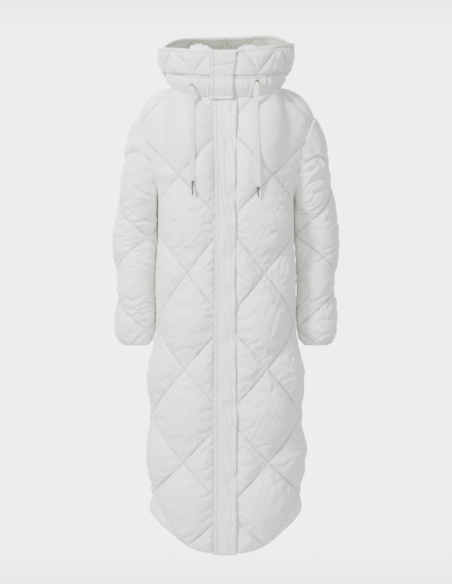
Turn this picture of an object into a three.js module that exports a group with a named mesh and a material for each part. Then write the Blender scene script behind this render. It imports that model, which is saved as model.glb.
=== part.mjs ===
// A long hooded puffer coat, filled out as if it were worn, in millimetres.
// +Z is up, the front faces -Y, and the origin is the middle of the neck opening, where the wearer holds it.
// Each cut piece is a wall: its inside is plain, and its outside rises into puffs between the quilting stitches.
// Body, sleeve and hood sizes are given at the stitches, so the puffs stand proud of them.
import * as THREE from "three";

// Cloth
const WALL = 4; // thickness at a line of stitches, both shells and the flattened filling
const SEAM_GAP = 0.5; // between two sewn pieces
const LAY_GAP = 1.2; // between a panel and a strip that lies on it

// Quilting: diamonds counted in grid cells, so that each stitch line runs along the cells' diagonals
const DIAMOND = 10; // cells across a body diamond
const SLEEVE_DIAMOND = 19; // cells across a sleeve diamond, where the cells are about half as large
const SLEEVE_STITCHES = { left: [0, 16], right: [-2, 15] }; // where each sleeve's two sets of stitch lines start
const BODY_PUFF = 21;
const SLEEVE_PUFF = 15;
const HOOD_PUFF = 9;
const BAND_PUFF = 6;
const PUFF_FULLNESS = 0.45; // lower is fuller: the puff rises sooner from its stitches
const SEAM_FADE = 1.5; // cells over which a puff flattens towards a seam
const PRESSED = { byArm: 0.62, inArmpit: 0.33, sleeveByBody: 0.8 }; // shares of a puff's height that pressing takes
const BESIDE_ARM = { columns: [7.5, 10], rows: [19, 24] }; // where the pressing by an arm sets in
const IN_ARMPIT = { columns: [9, 11], reach: 5 }; // reach in rows
const SLEEVE_BY_BODY = 3.2; // columns from the armpit over which a sleeve is pressed
const HOOD_DIAMOND = { across: 105, up: 130, first: 34 }; // mm; first is the first peak's distance from the zip
const HOOD_FADE = 0.7; // share of a row's or column's distance that counts towards a seam of the hood

// Grid
const COLS = 12; // cells from the centre front or back to the side seam
const PLACKET_CELLS = 1.9; // cells from the centre front that stay flat for the placket
const NECK_COLS = 8; // of those, the cells that end on the neckline; the rest end on the shoulder seam
const ARMPIT_ROW = 38; // rows from the hem to the armpit
const FRONT_ROWS = 48;
const BACK_ROWS = 50;
const SLEEVE_FAN_ROWS = 14; // rows that fan out round the armpit
const SLEEVE_ROWS = 40;
const BAND_ROWS = 4;
const HOOD_ROWS = 16;
const RIM = FRONT_ROWS + HOOD_ROWS; // the hood's rim, where levels up the front count on from the body's rows

// Body
const HEM_Z = -1228;
const ARMPIT_Z = -285;
const HEM_RISE = 100; // how much higher the hem is at the side seams
const HEM_RISE_ROWS = 14;
const SQUARENESS = 2.3; // exponent of the body's section, 2 for an ellipse
const BODY_SECTIONS = [
  { z: -1228, half: 180, front: 112, back: 148, widest: -12 },
  { z: -1195, half: 189, front: 124, back: 156, widest: -12 },
  { z: -1120, half: 195, front: 132, back: 162, widest: -12 },
  { z: -950, half: 199, front: 134, back: 164, widest: -12 },
  { z: -780, half: 197, front: 130, back: 164, widest: -15 },
  { z: -680, half: 189, front: 126, back: 163, widest: -18 },
  { z: -580, half: 184, front: 123, back: 160, widest: -20 },
  { z: -430, half: 181, front: 121, back: 156, widest: -20 },
  { z: -285, half: 181, front: 119, back: 152, widest: -20 },
];

// Shoulders
const SHOULDER = new THREE.Vector3(238, 0, -70); // top of the armhole
const SHOULDER_ROUND = new THREE.Vector3(214, 0, 6); // pulls the shoulder seam up and out
const RING_RISE_POWER = 3.4; // how late a neck or hood ring climbs towards its side
const CHEST = { front: { y: -141, z: -150 }, back: { y: 146, z: -120 } }; // control points of the centre lines
const ARMHOLE = {
  front: { low: new THREE.Vector3(179, -84, -262), high: new THREE.Vector3(212, -94, -108) },
  back: { low: new THREE.Vector3(179, 78, -262), high: new THREE.Vector3(212, 92, -100) },
};
const ARMHOLE_LEAN = 0.5; // how far the outward direction round an armhole leans to the side

// Sleeves, down from where the fan round the armpit ends
const SLEEVE_SECTIONS = [
  { z: -340, inner: 194, outer: 288, y: 18, depth: 55 },
  { z: -413, inner: 195, outer: 292, y: 19, depth: 53 },
  { z: -480, inner: 196, outer: 291, y: 18, depth: 51 },
  { z: -560, inner: 197, outer: 288, y: 14, depth: 48 },
  { z: -640, inner: 200, outer: 286, y: 9, depth: 45 },
  { z: -668, inner: 205, outer: 282, y: 7, depth: 42 },
  { z: -684, inner: 213, outer: 271, y: 6, depth: 36 },
];
const SLEEVE_FAN_BEND = { x: 0.85, y: 0.35, z: 0.3 }; // where the fan's lines bend, as a share of their way down

// Hood, in rings from the neck seam to the rim: half width, then the depth and height of its front, side and back.
// Behind the neck it falls into the pouch that a hood makes when nobody wears it.
const HOOD_SQUARENESS = 2.5;
const HOOD_RINGS = [
  { row: 0, half: 142, frontY: -100, frontZ: -24, sideZ: 12, backY: 88, backZ: 28 },
  { row: 1, half: 149, frontY: -110, frontZ: -12, sideZ: 22, backY: 96, backZ: 38 },
  { row: 2, half: 156, frontY: -117, frontZ: 2, sideZ: 32, backY: 104, backZ: 49 },
  { row: 4, half: 158, frontY: -118, frontZ: 30, sideZ: 50, backY: 112, backZ: 68 },
  { row: 6, half: 166, frontY: -120, frontZ: 41, sideZ: 63, backY: 144, backZ: 58 },
  { row: 8, half: 172, frontY: -121, frontZ: 52, sideZ: 76, backY: 184, backZ: 24 },
  { row: 10, half: 177, frontY: -121, frontZ: 63, sideZ: 89, backY: 220, backZ: 20 },
  { row: 12, half: 181, frontY: -121, frontZ: 74, sideZ: 102, backY: 236, backZ: 70 },
  { row: 14, half: 184, frontY: -120, frontZ: 85, sideZ: 115, backY: 212, backZ: 132 },
  { row: 16, half: 185, frontY: -118, frontZ: 96, sideZ: 127, backY: 162, backZ: 168 },
];

// Front closing: the wearer's right front carries the placket, which covers the zip and laps over the left front
const ZIP = { half: 4.5, thick: 3, sunk: 0.2, stopsShort: 0.3 };
const PLACKET = { across: [-35, -24, -4, 16, 29], thick: 5, top: 47.5 };
const HOOD_FLAP = { right: -42, stitch: -31, leftBelow: 18, leftAbove: 26, thick: 4, overPlacket: 8 };
const FRONT_WIDTH = 290; // from the centre front to the side seam, along the cloth
const STRIP_SLOPE = 0.24; // how fast a strip's edges stand off the panels, which puff up beside it
const STRIP_FLAT = 24; // half of the width where the panels stay flat

// The hood's facing, where it stands up inside the rim in a soft fold on each side of the zip
const FACING = { right: [-98, -40], left: [32, 86], low: -24, high: 13, thick: 11, tuck: 4, rowHeight: 5.6 };

// Trimmings
const EYELET = { tube: 1.5, radius: 5.2, seat: -0.3 };
const EYELET_PLACES = { left: { along: 80, row: 2.5 }, right: { along: -89, row: 1.85 } };
const CORD = { width: 15, thick: 3, steps: 26 };
const TIP = { length: { left: 27, right: 38 }, top: 3.2, end: 2.2 };
// Each drawstring's way down, from its eyelet over the swell of the chest to its tip
const CORD_ROUTES = {
  left: [
    [81.5, -120.6, 12],
    [81, -121.4, 3],
    [80, -121.8, -12],
    [79, -121.8, -28],
    [78, -122, -42],
    [77.5, -124, -52],
    [77.4, -128, -61],
    [77.4, -133.5, -72],
    [77.6, -139, -83],
    [78, -143.5, -95],
    [78.6, -147, -110],
    [79.4, -149.5, -127],
    [80.3, -150.8, -146],
    [81.2, -151.2, -166],
    [82, -151.2, -186],
    [82.7, -151.2, -206],
    [83.3, -151.2, -226],
    [83.7, -151.2, -246],
    [84, -151, -265],
  ],
  right: [
    [-90, -117.1, 2.5],
    [-90, -118.8, -8],
    [-90, -120, -22],
    [-90, -120.5, -36],
    [-89.9, -122, -47],
    [-89.8, -126, -56],
    [-89.6, -131, -66],
    [-89.4, -136.5, -77],
    [-89.2, -141.5, -89],
    [-89, -145, -101],
    [-88.8, -148, -116],
    [-88.6, -150, -133],
    [-88.4, -150.9, -151],
    [-88.2, -151, -170],
    [-88, -151, -190],
    [-87.8, -151, -210],
    [-87.6, -151, -230],
    [-87.5, -150.8, -249],
  ],
};

const SHELL_FABRIC = new THREE.MeshStandardMaterial({ color: 0xe3e4e1, roughness: 0.55 });
const ZIP_TAPE = new THREE.MeshStandardMaterial({ color: 0xc9c8c2, roughness: 0.7 });
const FACING_FABRIC = new THREE.MeshStandardMaterial({ color: 0xdfe3e6, roughness: 0.5 });
const EYELET_METAL = new THREE.MeshStandardMaterial({ color: 0x4a4238, roughness: 0.4, metalness: 1 });
const TIP_METAL = new THREE.MeshStandardMaterial({ color: 0x3c3936, roughness: 0.35, metalness: 1 });
const CORD_BRAID = new THREE.MeshStandardMaterial({ color: 0xdedbd0, roughness: 0.85 });

const lerp = THREE.MathUtils.lerp;
const smooth = (x, low, high) => THREE.MathUtils.smoothstep(x, low, high);
const range = (count) => Array.from({ length: count }, (_, n) => n);
const mirrored = (p) => new THREE.Vector3(-p.x, p.y, p.z);

// A row of a table at any value of its key, on a smooth curve through the rows.
function lookup(table, key, at) {
  const sign = Math.sign(table[1][key] - table[0][key]);
  const last = table.length - 2;
  const k = Math.max(0, Math.min(last, table.findLastIndex((row) => (at - row[key]) * sign >= 0)));
  const [a, b] = [table[k], table[k + 1]];
  const [before, after] = [table[Math.max(0, k - 1)], table[Math.min(last + 1, k + 2)]];
  const span = b[key] - a[key];
  const t = THREE.MathUtils.clamp((at - a[key]) / span, 0, 1);
  const found = {};
  for (const column of Object.keys(a)) {
    const slopeA = ((b[column] - before[column]) / (b[key] - before[key])) * span;
    const slopeB = ((after[column] - a[column]) / (after[key] - a[key])) * span;
    found[column] =
      a[column] * (1 + 2 * t) * (1 - t) ** 2 +
      slopeA * t * (1 - t) ** 2 +
      b[column] * t * t * (3 - 2 * t) -
      slopeB * t * t * (1 - t);
  }
  return found;
}

// A quarter of a ring in plan, from its centre line at x 0 to its side at x half, with a height for each point.
class QuarterRing extends THREE.Curve {
  constructor({ half, centreY, sideY, squareness, height }) {
    super();
    Object.assign(this, { half, centreY, sideY, squareness, height });
  }

  getPoint(t, target = new THREE.Vector3()) {
    const angle = (t * Math.PI) / 2;
    const across = Math.abs(Math.sin(angle)) ** (2 / this.squareness);
    const along = Math.abs(Math.cos(angle)) ** (2 / this.squareness);
    return target.set(this.half * across, lerp(this.sideY, this.centreY, along), this.height(across));
  }
}

const rowZ = (j) => HEM_Z + 23.6 * j + 0.032 * j * j; // rows a little taller towards the chest

const quarterCache = new Map();
// The body's section at row j, on the front or back half, as a quarter ring.
function bodyQuarter(face, j) {
  const key = `${face} ${j}`;
  if (!quarterCache.has(key)) {
    const size = lookup(BODY_SECTIONS, "z", rowZ(j));
    const fade = Math.max(0, 1 - j / HEM_RISE_ROWS) ** 2;
    const centreY = face === "front" ? size.widest - size.front : size.widest + size.back;
    quarterCache.set(
      key,
      new QuarterRing({
        half: size.half,
        centreY,
        sideY: size.widest,
        squareness: SQUARENESS,
        height: (across) => rowZ(j) + HEM_RISE * fade * across ** 3,
      }),
    );
  }
  return quarterCache.get(key);
}

// A ring of the hood at a row, on its front or back half, as a quarter ring.
function hoodQuarter(face, row) {
  const key = `hood ${face} ${row}`;
  if (!quarterCache.has(key)) {
    const size = lookup(HOOD_RINGS, "row", row);
    const [centreY, centreZ] = face === "front" ? [size.frontY, size.frontZ] : [size.backY, size.backZ];
    quarterCache.set(
      key,
      new QuarterRing({
        half: size.half,
        centreY,
        sideY: 0,
        squareness: HOOD_SQUARENESS,
        height: (across) => lerp(centreZ, size.sideZ, across ** RING_RISE_POWER),
      }),
    );
  }
  return quarterCache.get(key);
}

const bezier = (...points) =>
  points.length === 3 ? new THREE.QuadraticBezierCurve3(...points) : new THREE.CubicBezierCurve3(...points);

// The four edges of the panel above the armpit, on the wearer's left half.
function yoke(face) {
  const armpit = bodyQuarter(face, ARMPIT_ROW);
  const neck = hoodQuarter(face, 0);
  const [low, high] = [armpit.getPointAt(0), neck.getPointAt(0)];
  const neckSide = neck.getPointAt(1);
  const chest = CHEST[face];
  const turn = new THREE.Vector3(0, chest.y, chest.z);
  const sideSeam = armpit.getPointAt(1);
  return {
    low: armpit,
    neck,
    centre: bezier(low, turn, high),
    armhole: bezier(sideSeam, ARMHOLE[face].low, ARMHOLE[face].high, SHOULDER),
    shoulder: bezier(neckSide, SHOULDER_ROUND, SHOULDER),
  };
}
const YOKES = { front: yoke("front"), back: yoke("back") };
const TOP_ROWS = { front: FRONT_ROWS, back: BACK_ROWS };

// A point of the upper edge: the neckline for the first columns, then the shoulder seam.
function topPoint(face, share) {
  const { neck, shoulder } = YOKES[face];
  const corner = NECK_COLS / COLS;
  return share <= corner ? neck.getPointAt(share / corner) : shoulder.getPointAt((share - corner) / (1 - corner));
}

// The body's surface at the stitches: share runs from the centre (0) to the side (1), and j counts rows from the hem.
function bodyPoint(face, share, j) {
  if (j <= ARMPIT_ROW) return bodyQuarter(face, j).getPointAt(share);
  const edge = YOKES[face];
  const v = (j - ARMPIT_ROW) / (TOP_ROWS[face] - ARMPIT_ROW);
  const [low, top] = [edge.low.getPointAt(share), topPoint(face, share)];
  const [centre, armhole] = [edge.centre.getPointAt(v), edge.armhole.getPointAt(v)];
  const corners = [edge.low.getPointAt(0), edge.low.getPointAt(1), topPoint(face, 0), topPoint(face, 1)];
  const point = low.multiplyScalar(1 - v).addScaledVector(top, v);
  point.addScaledVector(centre, 1 - share).addScaledVector(armhole, share);
  point.addScaledVector(corners[0], -(1 - share) * (1 - v)).addScaledVector(corners[1], -share * (1 - v));
  return point.addScaledVector(corners[2], -(1 - share) * v).addScaledVector(corners[3], -share * v);
}

// A front panel stops at the zip, so its first column isn't quite at the centre.
const shareOf = (face, i) => (face === "front" && i === 0 ? (ZIP.half + SEAM_GAP) / FRONT_WIDTH : i / COLS);

// Half a panel as rows of points. Its neckline is straight between even columns, so that the finer hood meets it.
function halfPanel(face) {
  const grid = range(TOP_ROWS[face] + 1).map((j) =>
    range(COLS + 1).map((i) => bodyPoint(face, shareOf(face, i), j)),
  );
  const top = grid.at(-1);
  for (let i = 1; i < NECK_COLS; i += 2) top[i].lerpVectors(top[i - 1], top[i + 1], 0.5);
  return grid;
}

// Height of a puff, from 0 to 1, where p and q count the two sets of stitch lines.
const puff = (p, q) => Math.abs(Math.sin(Math.PI * p) * Math.sin(Math.PI * q)) ** PUFF_FULLNESS;
// How a puff flattens towards a seam, by its distance in cells.
const towardsSeam = (cells) => Math.sqrt(THREE.MathUtils.clamp(cells / SEAM_FADE, 0, 1));

function bodyLift(face, i, j) {
  const quilt = puff((i + j - DIAMOND / 2) / DIAMOND, (i - j - DIAMOND / 2) / DIAMOND);
  const fromCentre = face === "front" ? i - PLACKET_CELLS : COLS;
  const seams = [fromCentre, COLS - i, j, (TOP_ROWS[face] - j) / 2].map(towardsSeam);
  const besideArm = PRESSED.byArm * smooth(i, ...BESIDE_ARM.columns) * smooth(j, ...BESIDE_ARM.rows);
  const nearArmpit = Math.exp(-(((j - ARMPIT_ROW) / IN_ARMPIT.reach) ** 2));
  const inArmpit = PRESSED.inArmpit * smooth(i, ...IN_ARMPIT.columns) * nearArmpit;
  return BODY_PUFF * quilt * Math.min(...seams) * (1 - besideArm - inArmpit);
}

// The sleeve's rings run from the armpit round the front of the armhole to the shoulder and down its back.
const SLEEVE_COLS = FRONT_ROWS + BACK_ROWS - 2 * ARMPIT_ROW;
const FRONT_EDGE_COLS = FRONT_ROWS - ARMPIT_ROW;

function armholePoint(k) {
  if (k <= FRONT_EDGE_COLS) return YOKES.front.armhole.getPointAt(k / FRONT_EDGE_COLS);
  return YOKES.back.armhole.getPointAt((SLEEVE_COLS - k) / (SLEEVE_COLS - FRONT_EDGE_COLS));
}

// The angle round the sleeve at column k: 0 towards the body, a half turn at the outside.
const sleeveAngle = (k) =>
  k <= FRONT_EDGE_COLS
    ? (Math.PI * k) / FRONT_EDGE_COLS
    : Math.PI * (1 + (k - FRONT_EDGE_COLS) / (SLEEVE_COLS - FRONT_EDGE_COLS));

function sleeveRingPoint(k, z) {
  const size = lookup(SLEEVE_SECTIONS, "z", z);
  const angle = sleeveAngle(k);
  const [middle, half] = [(size.inner + size.outer) / 2, (size.outer - size.inner) / 2];
  return new THREE.Vector3(middle - half * Math.cos(angle), size.y - size.depth * Math.sin(angle), z);
}

function sleevePoint(k, r) {
  const [first, last] = [SLEEVE_SECTIONS[0].z, SLEEVE_SECTIONS.at(-1).z];
  if (r >= SLEEVE_FAN_ROWS) {
    return sleeveRingPoint(k, lerp(first, last, (r - SLEEVE_FAN_ROWS) / (SLEEVE_ROWS - SLEEVE_FAN_ROWS)));
  }
  const [start, end] = [armholePoint(k), sleeveRingPoint(k, first)];
  const bend = new THREE.Vector3(
    lerp(start.x, end.x, SLEEVE_FAN_BEND.x),
    lerp(start.y, end.y, SLEEVE_FAN_BEND.y),
    lerp(start.z, end.z, SLEEVE_FAN_BEND.z),
  );
  return bezier(start, bend, end).getPointAt(r / SLEEVE_FAN_ROWS);
}

function sleeveLift(side, k, r) {
  const [rising, falling] = SLEEVE_STITCHES[side];
  const quilt = puff((k + r + rising) / SLEEVE_DIAMOND, (k - r + falling) / SLEEVE_DIAMOND);
  const fromArmpit = Math.min(k, SLEEVE_COLS - k);
  const againstBody = PRESSED.sleeveByBody * Math.exp(-((fromArmpit / SLEEVE_BY_BODY) ** 2));
  const seams = [r / 2, (SLEEVE_ROWS - r) / 2].map(towardsSeam);
  return SLEEVE_PUFF * quilt * Math.min(...seams) * (1 - againstBody);
}

// The hood and its band have two columns for each cell of the neckline.
const HOOD_COLS = 4 * NECK_COLS;

function hoodPoint(share, row) {
  if (share <= 0.5) return hoodQuarter("front", row).getPointAt(share * 2);
  return hoodQuarter("back", row).getPointAt((1 - share) * 2);
}

// Half a ring of the hood from the zip to the centre back. The neck row repeats the body's neckline exactly.
function halfHoodRow(row) {
  const points = range(HOOD_COLS + 1).map((c) => hoodPoint(c / HOOD_COLS, row));
  points[0] = hoodPoint((ZIP.half + SEAM_GAP) / 2 / hoodQuarter("front", row).getLength(), row);
  if (row > 0) return points;
  const front = halfPanelTop("front");
  const back = halfPanelTop("back").reverse();
  const seam = [...front, ...back.slice(1)];
  return points.map((_, c) => seam[c >> 1].clone().lerp(seam[Math.min((c >> 1) + 1, seam.length - 1)], (c % 2) / 2));
}
const halfPanelTop = (face) => halfPanel(face).at(-1).slice(0, NECK_COLS + 1);

// Lengths along the hood for its quilting: round the rim from the zip, and down from the rim.
function hoodLengths(grid) {
  const rim = grid.at(-1);
  const around = rim.map(() => 0);
  for (let c = 1; c < rim.length; c++) around[c] = around[c - 1] + rim[c].distanceTo(rim[c - 1]);
  const down = grid.map((row) => row.map(() => 0));
  for (let r = grid.length - 2; r >= 0; r--)
    for (let c = 0; c < rim.length; c++) down[r][c] = down[r + 1][c] + grid[r][c].distanceTo(grid[r + 1][c]);
  return { around, down };
}

function hoodLift(grid) {
  const { around, down } = hoodLengths(grid);
  return grid.map((row, r) =>
    row.map((_, c) => {
      const across = (around[c] - HOOD_DIAMOND.first) / HOOD_DIAMOND.across;
      const up = down[r][c] / HOOD_DIAMOND.up;
      const seams = [c / 2 - 1.1, row.length - 1 - c, r * HOOD_FADE, (grid.length - 1 - r) * HOOD_FADE].map(towardsSeam);
      return HOOD_PUFF * puff(across + up, across - up) * Math.min(...seams);
    }),
  );
}

// A cut piece before it gets its thickness: rows of points at the stitches, and how high each stands.
const piece = (name, grid, lift, { closed = false, flip = false } = {}) => ({ name, grid, lift, closed, flip });
const mirrorPiece = (name, made) => ({
  ...made,
  name,
  grid: made.grid.map((row) => row.map(mirrored)),
  flip: !made.flip,
});
// Both halves of a row, joined where x is 0. The second half runs back from there.
const wholeRow = (half) => [...half, ...half.slice(0, -1).reverse().map(mirrored)];
const wholeLift = (half) => [...half, ...half.slice(0, -1).reverse()];

function cutPieces() {
  const front = halfPanel("front");
  const back = halfPanel("back");
  const liftOf = (face, grid) => grid.map((row, j) => row.map((_, i) => bodyLift(face, i, j)));
  const frontLeft = piece("front_left", front, liftOf("front", front));
  const backWhole = piece(
    "back",
    back.map((row) => wholeRow([...row].reverse())),
    liftOf("back", back).map((row) => wholeLift([...row].reverse())),
  );
  const sleeveGrid = range(SLEEVE_ROWS + 1).map((r) => range(SLEEVE_COLS).map((k) => sleevePoint(k, r)));
  const sleeve = (side) =>
    piece(
      "sleeve_left",
      sleeveGrid,
      sleeveGrid.map((row, r) => row.map((_, k) => sleeveLift(side, k, r))),
      { closed: true, flip: true },
    );
  const rings = range(HOOD_ROWS + 1).map(halfHoodRow);
  const bandHalf = rings.slice(0, BAND_ROWS + 1);
  const bandLift = bandHalf.map((row, r) =>
    row.map((_, c) => BAND_PUFF * Math.min(...[r / 1.4, BAND_ROWS - r, c / 2 - 0.9].map(towardsSeam))),
  );
  const hoodGrid = rings.slice(BAND_ROWS);
  const hoodLeft = piece("hood_left", hoodGrid, hoodLift(hoodGrid));
  return [
    frontLeft,
    mirrorPiece("front_right", frontLeft),
    backWhole,
    sleeve("left"),
    mirrorPiece("sleeve_right", sleeve("right")),
    piece("hood_band", bandHalf.map(wholeRow), bandLift.map(wholeLift)),
    hoodLeft,
    mirrorPiece("hood_right", hoodLeft),
  ];
}

const SPOTS_PER_MM = 50; // points closer than one spot are the same sewn point
const spot = (p) => [p.x, p.y, p.z].map((v) => Math.round(v * SPOTS_PER_MM)).join(" ");

// The outward direction at each point, shared by the pieces that are sewn together there, so that their edges meet.
function sewnNormals(pieces) {
  const normals = new Map();
  for (const { grid, closed, flip } of pieces) {
    const [rows, cols] = [grid.length, grid[0].length];
    grid.forEach((row, r) =>
      row.forEach((point, c) => {
        const left = row[closed ? (c + cols - 1) % cols : Math.max(0, c - 1)];
        const right = row[closed ? (c + 1) % cols : Math.min(cols - 1, c + 1)];
        const along = new THREE.Vector3().subVectors(right, left);
        const up = new THREE.Vector3().subVectors(grid[Math.min(rows - 1, r + 1)][c], grid[Math.max(0, r - 1)][c]);
        const normal = along.cross(up).normalize();
        if (flip) normal.negate();
        const key = spot(point);
        if (normals.has(key)) normals.get(key).add(normal);
        else normals.set(key, normal);
      }),
    );
  }
  // Round an armhole the shared direction is away from the middle of the hole, and partly out to the side.
  const edge = range(SLEEVE_COLS).map(armholePoint);
  const middle = edge.reduce((sum, p) => sum.add(p), new THREE.Vector3()).divideScalar(edge.length);
  for (const point of edge) {
    const away = new THREE.Vector3().subVectors(point, middle).normalize();
    away.x += ARMHOLE_LEAN;
    normals.set(spot(point), away);
    normals.set(spot(mirrored(point)), mirrored(away));
  }
  for (const normal of normals.values()) normal.normalize();
  for (const side of [1, -1]) straightenNeckNormals(normals, side);
  return normals;
}

// The neckline is straight between every fourth point of the hood's lowest ring, and so are its outward directions.
function straightenNeckNormals(normals, side) {
  const seam = halfHoodRow(0).map((p) => (side > 0 ? p : mirrored(p)));
  for (let c = 0; c < seam.length - 1; c += 4) {
    const [start, end] = [normals.get(spot(seam[c])), normals.get(spot(seam[c + 4]))];
    for (const n of [1, 2, 3]) normals.get(spot(seam[c + n])).lerpVectors(start, end, n / 4);
  }
}

// Draws the edges of a grid in by half the gap between sewn pieces, and further where they meet at a sharp fold.
function drawIn(grid, edgeNormal, closed) {
  const [rows, cols] = [grid.length, grid[0].length];
  const moved = grid.map((row) => row.map((p) => p.clone()));
  const at = (r, c) =>
    grid[THREE.MathUtils.clamp(r, 0, rows - 1)][closed ? (c + cols) % cols : THREE.MathUtils.clamp(c, 0, cols - 1)];
  const pull = (r, c, towards, edgeStart, edgeEnd) => {
    const edge = new THREE.Vector3().subVectors(edgeEnd, edgeStart).normalize();
    const step = new THREE.Vector3().subVectors(towards, grid[r][c]);
    step.addScaledVector(edge, -step.dot(edge)).normalize();
    const slant = new THREE.Vector3().crossVectors(step, edgeNormal(r, c)).length();
    moved[r][c].addScaledVector(step, SEAM_GAP / 2 / Math.max(slant, 0.3));
  };
  for (let c = 0; c < cols; c++) {
    pull(0, c, at(1, c), at(0, c - 1), at(0, c + 1));
    pull(rows - 1, c, at(rows - 2, c), at(rows - 1, c - 1), at(rows - 1, c + 1));
  }
  if (!closed) {
    for (let r = 0; r < rows; r++) {
      pull(r, 0, at(r, 1), at(r - 1, 0), at(r + 1, 0));
      pull(r, cols - 1, at(r, cols - 2), at(r - 1, cols - 1), at(r + 1, cols - 1));
    }
  }
  return moved;
}

// A closed solid between a grid of outer points and every second point of a grid of inner ones.
// Where lift is given, each outer cell is split along its lower diagonal, which is where a stitch line runs.
function wallGeometry(outer, inner, { closed = false, flip = false, lift = null, step = 2 } = {}) {
  const [rows, cols] = [outer.length, outer[0].length];
  const positions = [];
  const outerIndex = outer.map((row) => row.map((p) => positions.push(p.x, p.y, p.z) / 3 - 1));
  const innerIndex = inner.map((row, r) =>
    row.map((p, c) => (r % step || c % step ? -1 : positions.push(p.x, p.y, p.z) / 3 - 1)),
  );
  const faces = [];
  const face = (a, b, c) => faces.push(...(flip ? [a, c, b] : [a, b, c]));
  const wrap = (c) => (closed ? c % cols : c);
  const lastCol = closed ? cols : cols - 1;
  for (let r = 0; r < rows - 1; r++) {
    for (let c = 0; c < lastCol; c++) {
      const d = wrap(c + 1);
      const [p, q, s, t] = [outerIndex[r][c], outerIndex[r][d], outerIndex[r + 1][d], outerIndex[r + 1][c]];
      const rising = lift ? lift[r][c] + lift[r + 1][d] : 0;
      const falling = lift ? lift[r][d] + lift[r + 1][c] : 0;
      if (rising <= falling) {
        face(p, q, s);
        face(p, s, t);
      } else {
        face(p, q, t);
        face(q, s, t);
      }
    }
  }
  for (let r = 0; r < rows - 1; r += step) {
    for (let c = 0; c < lastCol; c += step) {
      const d = wrap(c + step);
      const [p, q, s, t] = [innerIndex[r][c], innerIndex[r][d], innerIndex[r + step][d], innerIndex[r + step][c]];
      face(p, s, q);
      face(p, t, s);
    }
  }
  // An edge face joins a run of outer points to the inner points behind it.
  const edge = (o, i) => {
    for (let n = 0; n + step < o.length; n += step) {
      if (step === 1) {
        face(o[n], i[n], o[n + 1]);
        face(o[n + 1], i[n], i[n + 1]);
      } else {
        face(o[n], i[n], o[n + 1]);
        face(o[n + 1], i[n], i[n + 2]);
        face(o[n + 1], i[n + 2], o[n + 2]);
      }
    }
  };
  const run = (index, r) => (closed ? [...index[r], index[r][0]] : [...index[r]]);
  const column = (index, c) => index.map((row) => row[c]);
  edge(run(outerIndex, 0), run(innerIndex, 0));
  edge(run(outerIndex, rows - 1).reverse(), run(innerIndex, rows - 1).reverse());
  if (!closed) {
    edge(column(outerIndex, cols - 1), column(innerIndex, cols - 1));
    edge(column(outerIndex, 0).reverse(), column(innerIndex, 0).reverse());
  }
  const geometry = new THREE.BufferGeometry();
  geometry.setAttribute("position", new THREE.Float32BufferAttribute(positions, 3));
  geometry.setIndex(faces);
  geometry.computeVertexNormals();
  return geometry;
}

const coat = new THREE.Group();

function add(name, geometry, material) {
  const mesh = new THREE.Mesh(geometry, material);
  mesh.name = name;
  coat.add(mesh);
  return mesh;
}

const pieces = cutPieces();
const normals = sewnNormals(pieces);
for (const { name, grid, lift, closed, flip } of pieces) {
  const normalAt = (r, c) => normals.get(spot(grid[r][c]));
  const raised = (height) =>
    grid.map((row, r) => row.map((p, c) => p.clone().addScaledVector(normalAt(r, c), height(r, c))));
  const outer = drawIn(raised((r, c) => lift[r][c]), normalAt, closed);
  const inner = drawIn(raised(() => -WALL), normalAt, closed);
  add(name, wallGeometry(outer, inner, { closed, flip, lift }), SHELL_FABRIC);
}

// A place on the front near its centre: along is mm from the centre towards the wearer's left, and level counts the
// body's rows from the hem and then the hood's.
function frontPoint(along, level) {
  const distance = Math.abs(along);
  const ring = hoodQuarter("front", Math.max(0, level - FRONT_ROWS));
  const point =
    level <= FRONT_ROWS
      ? bodyPoint("front", distance / FRONT_WIDTH, level)
      : ring.getPointAt(distance / ring.getLength());
  return along < 0 ? mirrored(point) : point;
}

// The same place, its outward direction and its way up.
function frontPlace(along, level) {
  const point = frontPoint(along, level);
  const across = frontPoint(along + 1, level).sub(frontPoint(along - 1, level));
  const up = frontPoint(along, Math.min(level + 0.3, RIM)).sub(frontPoint(along, level - 0.3)).normalize();
  return { point, up, out: across.cross(up).normalize() };
}

// A point at a height over the front, and at a rise above its level.
function frontRaised(along, level, height, rise = 0) {
  const { point, up, out } = frontPlace(along, level);
  return point.addScaledVector(out, height).addScaledVector(up, rise);
}

// A strip that lies along the front: its columns, and the heights of its two sides, may change with the level.
function frontStrip(name, levels, columns, underside, thick, material) {
  const side = (height) =>
    levels.map((level) => columns(level).map((along) => frontRaised(along, level, height(along, level))));
  const outer = side((along, level) => underside(along, level) + thick);
  add(name, wallGeometry(outer, side(underside), { step: 1 }), material);
}

const offPanel = (along) => LAY_GAP + STRIP_SLOPE * Math.max(0, Math.abs(along) - STRIP_FLAT);
const levelsBetween = (first, last, step) =>
  range(Math.round((last - first) / step) + 1).map((n) => Math.min(last, first + n * step));

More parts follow.
